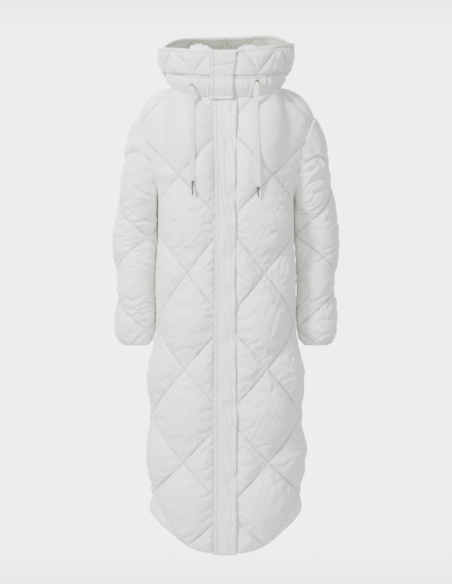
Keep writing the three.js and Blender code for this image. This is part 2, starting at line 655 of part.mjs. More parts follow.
function addClosing() {
  const lowLevels = [0, 1, 2, 3, ...levelsBetween(4, ARMPIT_ROW - 2, 2)];
  const zipLevels = [ZIP.stopsShort, ...lowLevels.slice(1), ...levelsBetween(ARMPIT_ROW, FRONT_ROWS, 1)];
  const hoodLevels = levelsBetween(FRONT_ROWS + 1, RIM - 1, 1);
  const zipColumns = () => [-ZIP.half, ZIP.half];
  const zipUnder = () => -ZIP.sunk - ZIP.thick;
  const zipAll = [...zipLevels, ...hoodLevels, RIM - ZIP.stopsShort];
  frontStrip("zip", zipAll, zipColumns, zipUnder, ZIP.thick, ZIP_TAPE);

  const placketLevels = [...lowLevels, ...levelsBetween(ARMPIT_ROW, FRONT_ROWS - 1, 1), PLACKET.top];
  frontStrip("placket", placketLevels, () => PLACKET.across, offPanel, PLACKET.thick, SHELL_FABRIC);

  const flapLevels = [FRONT_ROWS - 0.5, FRONT_ROWS + 0.5, ...levelsBetween(FRONT_ROWS + 2, RIM - 2, 2), RIM - 0.2];
  const flapColumns = (level) => {
    const left = lerp(HOOD_FLAP.leftBelow, HOOD_FLAP.leftAbove, smooth(level, FRONT_ROWS, RIM));
    return [HOOD_FLAP.right, HOOD_FLAP.stitch, lerp(HOOD_FLAP.stitch, left, 0.5), left];
  };
  const flapUnder = (along, level) =>
    offPanel(along) + HOOD_FLAP.overPlacket * (1 - smooth(level, FRONT_ROWS - 0.5, FRONT_ROWS + 3));
  frontStrip("hood_flap", flapLevels, flapColumns, flapUnder, HOOD_FLAP.thick, SHELL_FABRIC);
}

// A soft fold of facing: a pad behind the rim that stands highest in its middle.
function addFacing(name, [from, to]) {
  const columns = range(9).map((n) => n / 8);
  const heights = range(6).map((n) => n / 5);
  const side = (back) =>
    heights.map((h) =>
      columns.map((c) => {
        const swell = Math.sqrt(Math.sin(Math.PI * THREE.MathUtils.clamp(c, 0.04, 0.96)));
        const roundTop = Math.sqrt(1 - 0.9 * h ** 4);
        const depth = WALL + LAY_GAP + FACING.tuck * h + back * FACING.thick * swell * roundTop;
        const rise = lerp(FACING.low, FACING.high * swell, h);
        const level = RIM + Math.min(0, rise) / FACING.rowHeight;
        return frontRaised(lerp(from, to, c), level, -depth, Math.max(0, rise));
      }),
    );
  add(name, wallGeometry(side(0), side(1), { step: 1 }), FACING_FABRIC);
}

function addEyelet(name, { along, row }) {
  const ring = new THREE.TorusGeometry(EYELET.radius, EYELET.tube, 8, 18);
  const { out } = frontPlace(along, FRONT_ROWS + row);
  ring.applyQuaternion(new THREE.Quaternion().setFromUnitVectors(new THREE.Vector3(0, 0, 1), out));
  const mesh = add(name, ring, EYELET_METAL);
  mesh.position.copy(frontRaised(along, FRONT_ROWS + row, BAND_PUFF + EYELET.tube + EYELET.seat));
}

// A cord's route, whose width stays level all the way.
class FlatCordPath extends THREE.CatmullRomCurve3 {
  computeFrenetFrames(steps) {
    const tangents = range(steps + 1).map((n) => this.getTangentAt(n / steps));
    const binormals = tangents.map((t) => new THREE.Vector3(0, t.z, -t.y).normalize());
    const normals = tangents.map((t, n) => new THREE.Vector3().crossVectors(binormals[n], t));
    return { tangents, normals, binormals };
  }
}

// A flat cord of eight sides along its route, and the metal tip that hangs from it.
function addCord(side, route) {
  const [w, t] = [CORD.width / 2, CORD.thick / 2];
  const section = new THREE.Shape(
    [[-w, -t / 3], [-w + t, -t], [w - t, -t], [w, -t / 3], [w, t / 3], [w - t, t], [-w + t, t], [-w, t / 3]].map(
      ([x, y]) => new THREE.Vector2(x, y),
    ),
  );
  const extrudePath = new FlatCordPath(route.map((p) => new THREE.Vector3(...p)));
  add(`cord_${side}`, new THREE.ExtrudeGeometry(section, { steps: CORD.steps, extrudePath }), CORD_BRAID);
  const length = TIP.length[side];
  const tip = add(`cord_tip_${side}`, new THREE.CylinderGeometry(TIP.top, TIP.end, length, 12), TIP_METAL);
  const down = extrudePath.getTangentAt(1);
  tip.quaternion.setFromUnitVectors(new THREE.Vector3(0, -1, 0), down);
  tip.position.copy(extrudePath.getPointAt(1)).addScaledVector(down, SEAM_GAP + length / 2);
}

addClosing();
addFacing("hood_facing_right", FACING.right);
addFacing("hood_facing_left", FACING.left);
for (const side of ["right", "left"]) {
  addEyelet(`eyelet_${side}`, EYELET_PLACES[side]);
  addCord(side, CORD_ROUTES[side]);
}

export default coat;
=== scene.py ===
"""A long hooded puffer coat, filled out as if it were worn. Sizes are in metres.

Every panel is a grid of points: its surface at the stitches, and how far the filling lifts the cloth off it.
Rows run up from the hem, and columns from the centre front or back to the side seam.
"""

import math
from functools import lru_cache
from itertools import product

import bpy
import numpy as np
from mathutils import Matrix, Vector


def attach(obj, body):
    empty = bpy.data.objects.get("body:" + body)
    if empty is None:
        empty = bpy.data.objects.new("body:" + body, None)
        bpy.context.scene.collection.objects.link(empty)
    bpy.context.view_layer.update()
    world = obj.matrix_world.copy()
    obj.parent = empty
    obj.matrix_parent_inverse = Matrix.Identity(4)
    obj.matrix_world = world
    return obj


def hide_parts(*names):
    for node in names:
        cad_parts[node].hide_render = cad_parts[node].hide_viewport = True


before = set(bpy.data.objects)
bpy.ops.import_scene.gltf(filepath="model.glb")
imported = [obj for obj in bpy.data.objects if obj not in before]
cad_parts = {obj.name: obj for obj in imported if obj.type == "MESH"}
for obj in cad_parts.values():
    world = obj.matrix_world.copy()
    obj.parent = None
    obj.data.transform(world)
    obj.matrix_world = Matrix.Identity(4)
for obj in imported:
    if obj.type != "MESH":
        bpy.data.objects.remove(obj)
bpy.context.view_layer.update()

# Camera and picture
PHOTO_WIDTH = 452
PHOTO_HEIGHT = 584
NECK_LINE = 92  # the photo's row at the height of the origin
METRES_PER_PIXEL = 0.0027  # at the coat's middle depth
CAMERA_DISTANCE = 4.5
SENSOR_WIDTH = 36.0  # mm

# Studio
FLOOR_Z = -1.5
FLOOR_RADIUS = 0.6
LIGHT_AIM = -0.55
HORIZON = {"full": 0.14, "gone": 0.24}  # how far up and down the room's pale wall reaches
WALL_LIGHT = {"round": 1.9, "behind": 3.1, "from": 0.3, "to": 0.85}
ROOM = {"light": 0.47, "from_left": 0.35}
ROOM_TINTS = (0.99, 0.995, 1.0, 1), (1.0, 1.0, 0.95, 1)  # of its wall and of the rest
LIGHTS = (
    ("key", (-2.5, -2.6, 2.1), 0.9, 460),
    ("fill", (1.5, -3.5, 0.2), 2.4, 100),
    ("top", (-0.4, 0.8, 2.2), 1.2, 90),
    ("behind", (-1.6, 3.2, 0.6), 2.2, 150),
)

# Drawstrings: where they leave the hood's band and the route that each hangs along
CORD_WIDTH = 0.015
CORD_THICK = 0.003
CORD_ROUTES = {
    "left": [
        (0.0815, -0.1206, 0.012), (0.0810, -0.1214, 0.003), (0.0800, -0.1218, -0.012),
        (0.0790, -0.1218, -0.028), (0.0780, -0.1220, -0.042), (0.0775, -0.1240, -0.052),
        (0.0774, -0.1280, -0.061), (0.0774, -0.1335, -0.072), (0.0776, -0.1390, -0.083),
        (0.0780, -0.1435, -0.095), (0.0786, -0.1470, -0.110), (0.0794, -0.1495, -0.127),
        (0.0803, -0.1508, -0.146), (0.0812, -0.1512, -0.166), (0.0820, -0.1512, -0.186),
        (0.0827, -0.1512, -0.206), (0.0833, -0.1512, -0.226), (0.0837, -0.1512, -0.246),
        (0.0840, -0.1510, -0.265),
    ],
    "right": [
        (-0.0900, -0.1171, 0.0025), (-0.0900, -0.1188, -0.008), (-0.0900, -0.1200, -0.022),
        (-0.0900, -0.1205, -0.036), (-0.0899, -0.1220, -0.047), (-0.0898, -0.1260, -0.056),
        (-0.0896, -0.1310, -0.066), (-0.0894, -0.1365, -0.077), (-0.0892, -0.1415, -0.089),
        (-0.0890, -0.1450, -0.101), (-0.0888, -0.1480, -0.116), (-0.0886, -0.1500, -0.133),
        (-0.0884, -0.1509, -0.151), (-0.0882, -0.1510, -0.170), (-0.0880, -0.1510, -0.190),
        (-0.0878, -0.1510, -0.210), (-0.0876, -0.1510, -0.230), (-0.0875, -0.1508, -0.249),
    ],
}

# Cloth
WALL = 0.004
SEAM_GAP = 0.0005
SEWN_GAP = 0.0001  # what is left of it at the stitches
LAY_GAP = 0.0012
THINNEST = 0.0008  # of a strip's cloth
DIAMOND = 10
SLEEVE_DIAMOND = 19
SLEEVE_STITCHES = {"left": (0, 16), "right": (-2, 15)}
BODY_PUFF = 0.021
SLEEVE_PUFF = 0.015
HOOD_PUFF = 0.009
BAND_PUFF = 0.006
BAND_CELL = {"wide": 0.015, "high": 0.012}
BAND_STITCHES = (0.0012, 0.0405, 0.0452)  # up from the neck seam
BAND_OVERHANG = 0.0065  # how far the band hangs down over the neck seam
# Topstitching below the rim, and the fullness beside the band
HOOD_EDGE = {"rim": 0.009, "groove": 0.0012, "lift": 0.0033}
PUFF_FULLNESS = 0.45
SEAM_FADE = 1.5
PRESSED = {"by_arm": 0.62, "in_armpit": 0.33, "sleeve_by_body": 0.8}
SLEEVE_CLEARANCE = 0.0015  # between a sleeve and the body
SLEEVE_CELL = {"wide": 0.0144, "high": 0.012}
HOOD_DIAMOND = {"across": 0.105, "up": 0.130, "first": 0.034}
YOKE_CELL = {"wide": 0.0246, "high": 0.0261}

# Grid
COLS = 12
NECK_COLS = 8
PUFFS_START = {"front_left": 1.25, "front_right": 1.5}  # cells from the centre front
ARMPIT_ROW = 38
FRONT_ROWS = 48
BACK_ROWS = 50
TOP_ROWS = {"front": FRONT_ROWS, "back": BACK_ROWS}
SLEEVE_FAN_ROWS = 14
SLEEVE_ROWS = 40
FRONT_EDGE_COLS = FRONT_ROWS - ARMPIT_ROW
SLEEVE_COLS = FRONT_ROWS + BACK_ROWS - 2 * ARMPIT_ROW
BAND_ROWS = 4
HOOD_ROWS = 16
RIM = FRONT_ROWS + HOOD_ROWS
HOOD_COLS = 4 * NECK_COLS
BODY_DETAIL = 8  # grid lines for each cell of the body
SLEEVE_DETAIL = 6
HOOD_DETAIL = 6

# Body
HEM_Z = -1.228
ROW_STEP = 0.0236
ROW_GROWTH = 0.000032
HEM_RISE = 0.100
HEM_RISE_ROWS = 14
SQUARENESS = 2.3
BODY_SECTIONS = {
    "z": (-1.228, -1.195, -1.120, -0.950, -0.780, -0.680, -0.580, -0.430, -0.285),
    "half": (0.180, 0.189, 0.195, 0.199, 0.197, 0.189, 0.184, 0.181, 0.181),
    "front": (0.112, 0.124, 0.132, 0.134, 0.130, 0.126, 0.123, 0.121, 0.119),
    "back": (0.148, 0.156, 0.162, 0.164, 0.164, 0.163, 0.160, 0.156, 0.152),
    "widest": (-0.012, -0.012, -0.012, -0.012, -0.015, -0.018, -0.020, -0.020, -0.020),
}
SHOULDER = (0.238, 0.0, -0.070)
SHOULDER_ROUND = (0.214, 0.0, 0.006)
RING_RISE_POWER = 3.4
RIM_RISE_POWER = {"front": 1.7, "back": 6.5}  # the same at the rim
RIM_TILT = 0.035  # the rim stands a little higher on the wearer's left
CHEST = {"front": (-0.141, -0.150), "back": (0.146, -0.120)}
ARMHOLE = {
    "front": ((0.179, -0.084, -0.262), (0.212, -0.094, -0.108)),
    "back": ((0.179, 0.078, -0.262), (0.212, 0.092, -0.100)),
}
FRONT_WIDTH = 0.290
ROUNDED = {"rows": 2.4, "share": 0.12}  # how far a bend of the body's surface is rounded off

# Sleeves
SLEEVE_SECTIONS = {
    "z": (-0.340, -0.413, -0.480, -0.560, -0.640, -0.668, -0.684),
    "inner": (0.194, 0.195, 0.196, 0.197, 0.200, 0.205, 0.213),
    "outer": (0.288, 0.292, 0.291, 0.288, 0.286, 0.282, 0.271),
    "y": (0.018, 0.019, 0.018, 0.014, 0.009, 0.007, 0.006),
    "depth": (0.055, 0.053, 0.051, 0.048, 0.045, 0.042, 0.036),
}
SLEEVE_FAN_BEND = (0.85, 0.35, 0.3)

# Hood
HOOD_SQUARENESS = 2.5
HOOD_RINGS = {
    "row": (0, 1, 2, 4, 6, 8, 10, 12, 14, 16),
    "half": (0.142, 0.149, 0.156, 0.158, 0.166, 0.172, 0.177, 0.181, 0.184, 0.185),
    "front_y": (-0.100, -0.110, -0.117, -0.118, -0.120, -0.121, -0.121, -0.121, -0.120, -0.118),
    "front_z": (-0.024, -0.012, 0.002, 0.030, 0.041, 0.052, 0.063, 0.074, 0.085, 0.096),
    "side_z": (0.012, 0.022, 0.032, 0.050, 0.062, 0.074, 0.086, 0.098, 0.109, 0.120),
    "back_y": (0.088, 0.096, 0.104, 0.112, 0.144, 0.184, 0.220, 0.236, 0.212, 0.162),
    "back_z": (0.028, 0.038, 0.049, 0.068, 0.058, 0.024, 0.020, 0.072, 0.137, 0.174),
}

# Front closing
ZIP = {"half": 0.0045, "thick": 0.003, "sunk": 0.0002, "stops_short": 0.3}
PLACKET = {"right": -0.035, "left": 0.029, "thick": 0.005, "top": 47.5}
PLACKET_STITCHES = (-0.0328, -0.024)
HOOD_FLAP = {"right": -0.042, "left_below": 0.018, "left_above": 0.026, "thick": 0.004, "over": 0.008}
FLAP_STITCHES = (-0.0400, -0.0325)
STRIP_SLOPE = 0.24
STRIP_FLAT = 0.024
SNAP_ROWS = (43.2, 38, 32.2, 23.4, 16.2, 8.2)  # where hidden snaps pinch the placket

# Facing, eyelets and tips
FACING = {"right": (-0.098, -0.040), "left": (0.032, 0.086)}
FACING_SIZE = {"low": -0.024, "high": 0.013, "thick": 0.011, "tuck": 0.004, "row": 0.0056}
EYELET = {"tube": 0.0015, "radius": 0.0052, "seat": -0.0003}
EYELET_PLACES = {"left": (0.080, 2.5), "right": (-0.089, 1.85)}
TIP = {"left": 0.027, "right": 0.038, "top": 0.0032, "end": 0.0022}


def clamp01(x):
    return np.clip(x, 0.0, 1.0)


def smooth(x, low, high):
    t = clamp01((x - low) / (high - low))
    return t * t * (3 - 2 * t)


def mirrored(points):
    return points * np.array([-1.0, 1.0, 1.0])


def unit(vectors):
    return vectors / np.maximum(np.linalg.norm(vectors, axis=-1, keepdims=True), 1e-12)


def lookup(table, key, at):
    """A row of a table at any value of its key, on a smooth curve through the rows."""
    keys = table[key]
    sign = 1 if keys[1] > keys[0] else -1
    last = len(keys) - 2
    k = max([n for n in range(last + 1) if (at - keys[n]) * sign >= 0], default=0)
    before, after = max(0, k - 1), min(last + 1, k + 2)
    span = keys[k + 1] - keys[k]
    t = min(max((at - keys[k]) / span, 0.0), 1.0)
    found = {}
    for column, values in table.items():
        slope_a = (values[k + 1] - values[before]) / (keys[k + 1] - keys[before]) * span
        slope_b = (values[after] - values[k]) / (keys[after] - keys[k]) * span
        found[column] = (
            values[k] * (1 + 2 * t) * (1 - t) ** 2
            + slope_a * t * (1 - t) ** 2
            + values[k + 1] * t * t * (3 - 2 * t)
            - slope_b * t * t * (1 - t)
        )
    return found


class EvenCurve:
    """A curve whose points are asked for by their share of its length."""

    DIVISIONS = 200

    def __init__(self, curve):
        self.curve = curve
        self.values = np.linspace(0, 1, self.DIVISIONS + 1)
        steps = np.linalg.norm(np.diff(curve(self.values), axis=0), axis=1)
        self.reach = np.concatenate([[0], np.cumsum(steps)])

    @property
    def length(self):
        return self.reach[-1]

    def at(self, share):
        share = np.atleast_1d(np.asarray(share, float))
        return self.curve(np.interp(share * self.length, self.reach, self.values))


def quarter_ring(half, centre_y, side_y, squareness, height):
    """A quarter of a ring in plan, from its centre line to its side."""

    def curve(t):
        angle = t * math.pi / 2
        across = np.abs(np.sin(angle)) ** (2 / squareness)
        along = np.abs(np.cos(angle)) ** (2 / squareness)
        return np.stack([half * across, side_y + (centre_y - side_y) * along, height(across)], axis=-1)

    return EvenCurve(curve)


def bezier(*points):
    points = [np.array(p, float) for p in points]
    order = len(points) - 1

    def curve(t):
        t = np.asarray(t)[:, None]
        return sum(math.comb(order, n) * (1 - t) ** (order - n) * t**n * p for n, p in enumerate(points))

    return EvenCurve(curve)


def row_z(j):
    return HEM_Z + ROW_STEP * j + ROW_GROWTH * j * j


@lru_cache(maxsize=None)
def body_quarter(face, j):
    size = lookup(BODY_SECTIONS, "z", row_z(j))
    fade = max(0.0, 1 - j / HEM_RISE_ROWS) ** 2
    centre_y = size["widest"] - size["front"] if face == "front" else size["widest"] + size["back"]
    return quarter_ring(
        size["half"],
        centre_y,
        size["widest"],
        SQUARENESS,
        lambda across: row_z(j) + HEM_RISE * fade * across**3,
    )


@lru_cache(maxsize=None)
def hood_quarter(face, row):
    size = lookup(HOOD_RINGS, "row", row)
    centre_y, centre_z = size[face + "_y"], size[face + "_z"]
    power = RING_RISE_POWER + (RIM_RISE_POWER[face] - RING_RISE_POWER) * float(smooth(row, 3, 13))
    return quarter_ring(
        size["half"],
        centre_y,
        0.0,
        HOOD_SQUARENESS,
        lambda across: centre_z + (size["side_z"] - centre_z) * across**power,
    )


@lru_cache(maxsize=None)
def yoke(face):
    """The four edges of the panel above the armpit, on the wearer's left half."""
    armpit = body_quarter(face, ARMPIT_ROW)
    neck = hood_quarter(face, 0)
    turn = (0.0, *CHEST[face])
    low, high = ARMHOLE[face]
    return {
        "low": armpit,
        "neck": neck,
        "centre": bezier(armpit.at(0)[0], turn, neck.at(0)[0]),
        "armhole": bezier(armpit.at(1)[0], low, high, SHOULDER),
        "shoulder": bezier(neck.at(1)[0], SHOULDER_ROUND, SHOULDER),
    }


def top_points(face, share):
    """The upper edge: the neckline for the first columns, then the shoulder seam."""
    corner = NECK_COLS / COLS
    neck = yoke(face)["neck"].at(np.minimum(share / corner, 1))
    shoulder = yoke(face)["shoulder"].at(clamp01((share - corner) / (1 - corner)))
    return np.where((share <= corner)[:, None], neck, shoulder)


def cut_row(face, share, j):
    """The same surface as its edges give it, with a bend at the armpits' row and one below the neck's end."""
    share = np.atleast_1d(np.asarray(share, float))
    if j <= ARMPIT_ROW:
        return body_quarter(face, j).at(share)
    edge = yoke(face)
    v = (j - ARMPIT_ROW) / (TOP_ROWS[face] - ARMPIT_ROW)
    s = share[:, None]
    low, top = edge["low"].at(share), top_points(face, share)
    centre, armhole = edge["centre"].at(v), edge["armhole"].at(v)
    low_0, low_1 = edge["low"].at(0), edge["low"].at(1)
    top_0, top_1 = edge["neck"].at(0), edge["armhole"].at(1)
    corners = (1 - s) * ((1 - v) * low_0 + v * top_0) + s * ((1 - v) * low_1 + v * top_1)
    return low * (1 - v) + top * v + centre * (1 - s) + armhole * s - corners


def body_row(face, share, j):
    """The body's surface at the stitches, for shares from the centre (0) to the side (1) on row j."""
    share = np.atleast_1d(np.asarray(share, float))
    plain = cut_row(face, share, j)
    v = max(0.0, (j - ARMPIT_ROW) / (TOP_ROWS[face] - ARMPIT_ROW))
    beside_bend = 1 - smooth(abs(j - ARMPIT_ROW) / ROUNDED["rows"], 0.35, 1)
    below_corner = 1 - smooth(np.abs(share - NECK_COLS / COLS) / ROUNDED["share"], 0.35, 1)
    below_corner = below_corner * (1 - v * v) * float(smooth(v, 0, 0.2))
    steps = np.linspace(-1, 1, 9)
    moved = np.zeros_like(plain)
    if beside_bend > 0:
        kept = beside_bend * (1 - smooth(share, 0.8, 1.0))[:, None]
        round_row = sum(cut_row(face, share, j + ROUNDED["rows"] * step) for step in steps) / len(steps)
        moved += kept * (round_row - plain)
    if below_corner.any():
        shares = [clamp01(share + ROUNDED["share"] * step) for step in steps]
        moved += below_corner[:, None] * (sum(cut_row(face, at, j) for at in shares) / len(steps) - plain)
    return plain + moved


def armhole_points(k):
    k = np.asarray(k, float) % SLEEVE_COLS
    front = yoke("front")["armhole"].at(np.minimum(k / FRONT_EDGE_COLS, 1))
    back = yoke("back")["armhole"].at(clamp01((SLEEVE_COLS - k) / (SLEEVE_COLS - FRONT_EDGE_COLS)))
    return np.where((k <= FRONT_EDGE_COLS)[:, None], front, back)


def sleeve_ring(k, z):
    k = np.asarray(k, float) % SLEEVE_COLS
    front = math.pi * k / FRONT_EDGE_COLS
    back = math.pi * (1 + (k - FRONT_EDGE_COLS) / (SLEEVE_COLS - FRONT_EDGE_COLS))
    angle = np.where(k <= FRONT_EDGE_COLS, front, back)
    size = lookup(SLEEVE_SECTIONS, "z", z)
    middle, half = (size["inner"] + size["outer"]) / 2, (size["outer"] - size["inner"]) / 2
    across = middle - half * np.cos(angle)
    return np.stack([across, size["y"] - size["depth"] * np.sin(angle), np.full_like(k, z)], axis=-1)


@lru_cache(maxsize=None)
def fan_curves(detail):
    """The lines of the fan round the armpit, one for each column of the sleeve's grid."""
    k = np.arange(0, SLEEVE_COLS * detail) / detail
    starts, ends = armhole_points(k), sleeve_ring(k, SLEEVE_SECTIONS["z"][0])
    bends = starts + (ends - starts) * np.array(SLEEVE_FAN_BEND)
    return [bezier(start, bend, end) for start, bend, end in zip(starts, bends, ends)]


def sleeve_row(detail, r):
    k = np.arange(0, SLEEVE_COLS * detail) / detail
    if r < SLEEVE_FAN_ROWS:
        return np.concatenate([line.at(r / SLEEVE_FAN_ROWS) for line in fan_curves(detail)])
    first, last = SLEEVE_SECTIONS["z"][0], SLEEVE_SECTIONS["z"][-1]
    share = (r - SLEEVE_FAN_ROWS) / (SLEEVE_ROWS - SLEEVE_FAN_ROWS)
    return sleeve_ring(k, first + (last - first) * share)


def hood_row(columns, row):
    """Half a ring of the hood, for columns from the zip (0) to the centre back (HOOD_COLS)."""
    share = columns / HOOD_COLS
    front, back = hood_quarter("front", row), hood_quarter("back", row)
    first = (ZIP["half"] + SEAM_GAP) / front.length
    ahead = front.at(np.clip(share * 2, first, 1))
    behind = back.at(clamp01((1 - share) * 2))
    return np.where((share <= 0.5)[:, None], ahead, behind)


def front_point(along, level):
    """A place on the front, along metres from its centre, on a row of the body or, above that, the hood."""
    along = np.atleast_1d(np.asarray(along, float))
    distance = np.abs(along)
    if level <= FRONT_ROWS:
        point = body_row("front", distance / FRONT_WIDTH, level)
    else:
        ring = hood_quarter("front", level - FRONT_ROWS)
        point = ring.at(distance / ring.length)
    point[:, 0] *= np.where(along < 0, -1, 1)
    return point


def front_place(along, level):
    """The same place, its outward direction and its way up."""
    point = front_point(along, level)
    across = front_point(np.asarray(along) + 0.001, level) - front_point(np.asarray(along) - 0.001, level)
    up = unit(front_point(along, min(level + 0.3, RIM)) - front_point(along, max(level - 0.3, 0)))
    return point, unit(np.cross(across, up)), up


def front_raised(along, level, height, rise=0.0):
    point, out, up = front_place(along, level)
    height, rise = np.broadcast_to(height, len(point)), np.broadcast_to(rise, len(point))
    return point + out * height[:, None] + up * rise[:, None]


def puff(p, q):
    """Height of a puff, from 0 to 1, where p and q count the two sets of stitch lines."""
    return np.abs(np.sin(np.pi * p) * np.sin(np.pi * q)) ** PUFF_FULLNESS


def towards_seam(cells):
    return np.sqrt(clamp01(cells / SEAM_FADE))


def grid_normals(grid, closed=False):
    """The outward direction at each point of a grid whose rows go up and whose columns go anticlockwise."""
    if closed:
        wide = np.concatenate([grid[:, -1:], grid, grid[:, :1]], axis=1)
        along = wide[:, 2:] - wide[:, :-2]
    else:
        along = np.gradient(grid, axis=1)
    up = np.gradient(grid, axis=0)
    return unit(np.cross(along, up))


# Creases of the cloth

# Puckers at a line of stitches: wavelength, how far they reach from it, and depth
PUCKERS = ((0.013, 0.018, 0.0012), (0.026, 0.036, 0.0020), (0.055, 0.060, 0.0022))
BODY_SPACING = 0.173  # between two stitch lines of a set, along the cloth
SLEEVE_SPACING = 0.185
HOOD_SPACING = 0.082
CELL = 0.0245  # a cell of the body's grid

# The cloth's slack: noise (wavelength, depth), then long folds (lean, wave, length, depth)
SLACK = {
    "body": (((4.3, 0.0022), (1.9, 0.0009)), ((0.35, 0.019, 0.075, 0.0016), (-0.5, 0.019, 0.075, 0.0016))),
    "sleeve": (
        ((7, 0.0024), (3, 0.0012)),
        ((1.35, 0.021, 0.060, 0.0042), (1.75, 0.015, 0.060, 0.0026), (0.9, 0.026, 0.060, 0.0028)),
    ),
    "hood": (((0.05, 0.0022),), ((0.6, 0.014, 0.045, 0.0020), (-0.8, 0.014, 0.045, 0.0020))),
}
CREASE_DEPTH = {"sleeve_left": 1.7, "sleeve_right": 1.7, "others": 1.3}  # times what follows
RIDGES = {"wide": 2.6, "high": 0.7}  # beside a crease, against its own width and depth

# Creases listed one by one, as seen from the front: two ends (x, z), depth and half width
CREASES = {
    "sleeve_right": [
        (-0.249, -0.354, -0.226, -0.347, 0.006, 0.006), (-0.226, -0.347, -0.203, -0.351, 0.006, 0.006),
        (-0.236, -0.262, -0.195, -0.283, 0.005, 0.006), (-0.243, -0.462, -0.195, -0.470, 0.004, 0.006),
        (-0.262, -0.560, -0.222, -0.548, 0.003, 0.007), (-0.280, -0.300, -0.262, -0.322, 0.003, 0.006),
    ],
    "sleeve_left": [
        (0.198, -0.181, 0.243, -0.195, 0.006, 0.006), (0.243, -0.195, 0.272, -0.220, 0.005, 0.007),
        (0.196, -0.225, 0.243, -0.198, 0.005, 0.006), (0.214, -0.330, 0.245, -0.345, 0.003, 0.007),
        (0.232, -0.462, 0.262, -0.450, 0.003, 0.007), (0.214, -0.560, 0.250, -0.566, 0.003, 0.007),
    ],
    "front_right": [
        (-0.068, -0.927, -0.038, -0.942, 0.003, 0.004), (-0.073, -1.005, -0.038, -0.995, 0.003, 0.004),
        (-0.066, -1.078, -0.038, -1.063, 0.003, 0.004), (-0.159, -0.888, -0.148, -0.809, 0.003, 0.006),
        (-0.094, -0.888, -0.104, -0.817, 0.002, 0.006), (-0.058, -0.888, -0.052, -0.817, 0.002, 0.005),
        (-0.089, -0.050, -0.042, -0.085, 0.004, 0.004), (-0.095, -0.038, -0.079, -0.062, 0.003, 0.004),
    ],
    "front_left": [
        (0.088, -0.033, 0.058, -0.066, 0.003, 0.004), (0.052, -0.035, 0.038, -0.072, 0.003, 0.004),
        (0.112, -0.030, 0.124, -0.064, 0.003, 0.004), (0.076, -0.900, 0.060, -0.860, 0.002, 0.006),
        (0.140, -0.620, 0.158, -0.570, 0.002, 0.006),
    ],
    "hood_band": [
        (-0.140, 0.005, -0.122, 0.001, 0.005, 0.003), (0.105, -0.003, 0.150, 0.005, 0.005, 0.003),
        (0.095, 0.007, 0.155, 0.010, 0.004, 0.003), (-0.118, 0.012, -0.108, -0.004, 0.003, 0.003),
        (-0.066, 0.010, -0.058, -0.012, 0.003, 0.003), (0.048, 0.012, 0.044, -0.010, 0.003, 0.003),
        (0.112, 0.016, 0.120, 0.004, 0.003, 0.003),
    ],
    "hood_right": [
        (-0.150, 0.060, -0.128, 0.044, 0.003, 0.004), (-0.062, 0.070, -0.046, 0.046, 0.002, 0.004),
    ],
    "hood_left": [
        (0.140, 0.062, 0.152, 0.040, 0.003, 0.004), (0.086, 0.075, 0.098, 0.048, 0.002, 0.004),
    ],
}


def noise(x, y, seed):
    """Smooth noise between about -1 and 1."""
    x, y = np.broadcast_arrays(x, y)
    left, low = np.floor(x).astype(np.int64), np.floor(y).astype(np.int64)
    across, up = x - left, y - low

    def corner(right, top):
        mixed = (left + right) * 374761393 + (low + top) * 668265263 + seed * 974634777
        mixed = ((mixed ^ (mixed >> 13)) & 0xFFFFFFFF) * 1274126177 & 0xFFFFFFFF
        angle = ((mixed ^ (mixed >> 16)) & 0xFFFF) * (2 * math.pi / 65536)
        return np.cos(angle) * (across - right) + np.sin(angle) * (up - top)

    def ease(t):
        return t * t * t * (t * (t * 6 - 15) + 10)

    below = corner(0, 0) * (1 - ease(across)) + corner(1, 0) * ease(across)
    above = corner(0, 1) * (1 - ease(across)) + corner(1, 1) * ease(across)
    return 1.5 * (below * (1 - ease(up)) + above * ease(up))


def puckers(along, away, line, reach_limit, seed):
    """Small troughs that run out from a line of stitches, smallest beside it."""
    total = np.zeros(np.broadcast(along, away).shape)
    for n, (wave, reach, depth) in enumerate(PUCKERS):
        wander = noise(along / (3 * wave), away / (2 * reach) + 7.3 * line, seed + 11 * n)
        crease = noise(along / wave + 0.9 * wander, away / (3 * reach) + 5.1 * line, seed + 5 + 11 * n)
        strength = 0.6 + 0.6 * noise(along / 0.07, line * 3.7, seed + 3 + n)
        fade = np.exp(-away / reach) * away / (away + 0.003) * clamp01(1 - away / reach_limit)
        total -= depth * strength * (np.exp(-((crease / 0.32) ** 2)) - 0.5) * fade
    return total


def drags(across, up, lean, wave, length, depth, seed):
    """Long soft folds here and there, which lean from the vertical by an angle."""
    beside = across * math.cos(lean) + up * math.sin(lean)
    along = up * math.cos(lean) - across * math.sin(lean)
    beside = beside + 0.6 * wave * noise(along / length, beside / (3 * wave), seed + 2)
    fold = noise(beside / wave, along / length, seed)
    here = smooth(noise(across / 0.11, up / 0.11, seed + 1), -0.1, 0.5)
    return -depth * here * (np.exp(-((fold / 0.28) ** 2)) - 0.3)


def slack_cloth(kind, x, y, across, up, seed):
    """The slow waves of the cloth, over x and y, and its long folds, over lengths along the cloth."""
    waves, folds = SLACK[kind]
    total = sum(noise(x / wave, y / wave, seed + 80 + n) * depth for n, (wave, depth) in enumerate(waves))
    for n, fold in enumerate(folds):
        total = total + drags(across, up, *fold, seed + 82 + 4 * n)
    return total


def quilt_wrinkles(p, q, spacing, seed):
    total = np.zeros(p.shape)
    for across, along, offset in ((p, q, 0), (q, p, 40)):
        line = np.round(across)
        away = np.abs(across - line) * spacing
        total += puckers(along * spacing, away, line, spacing / 2, seed + offset)
    return total


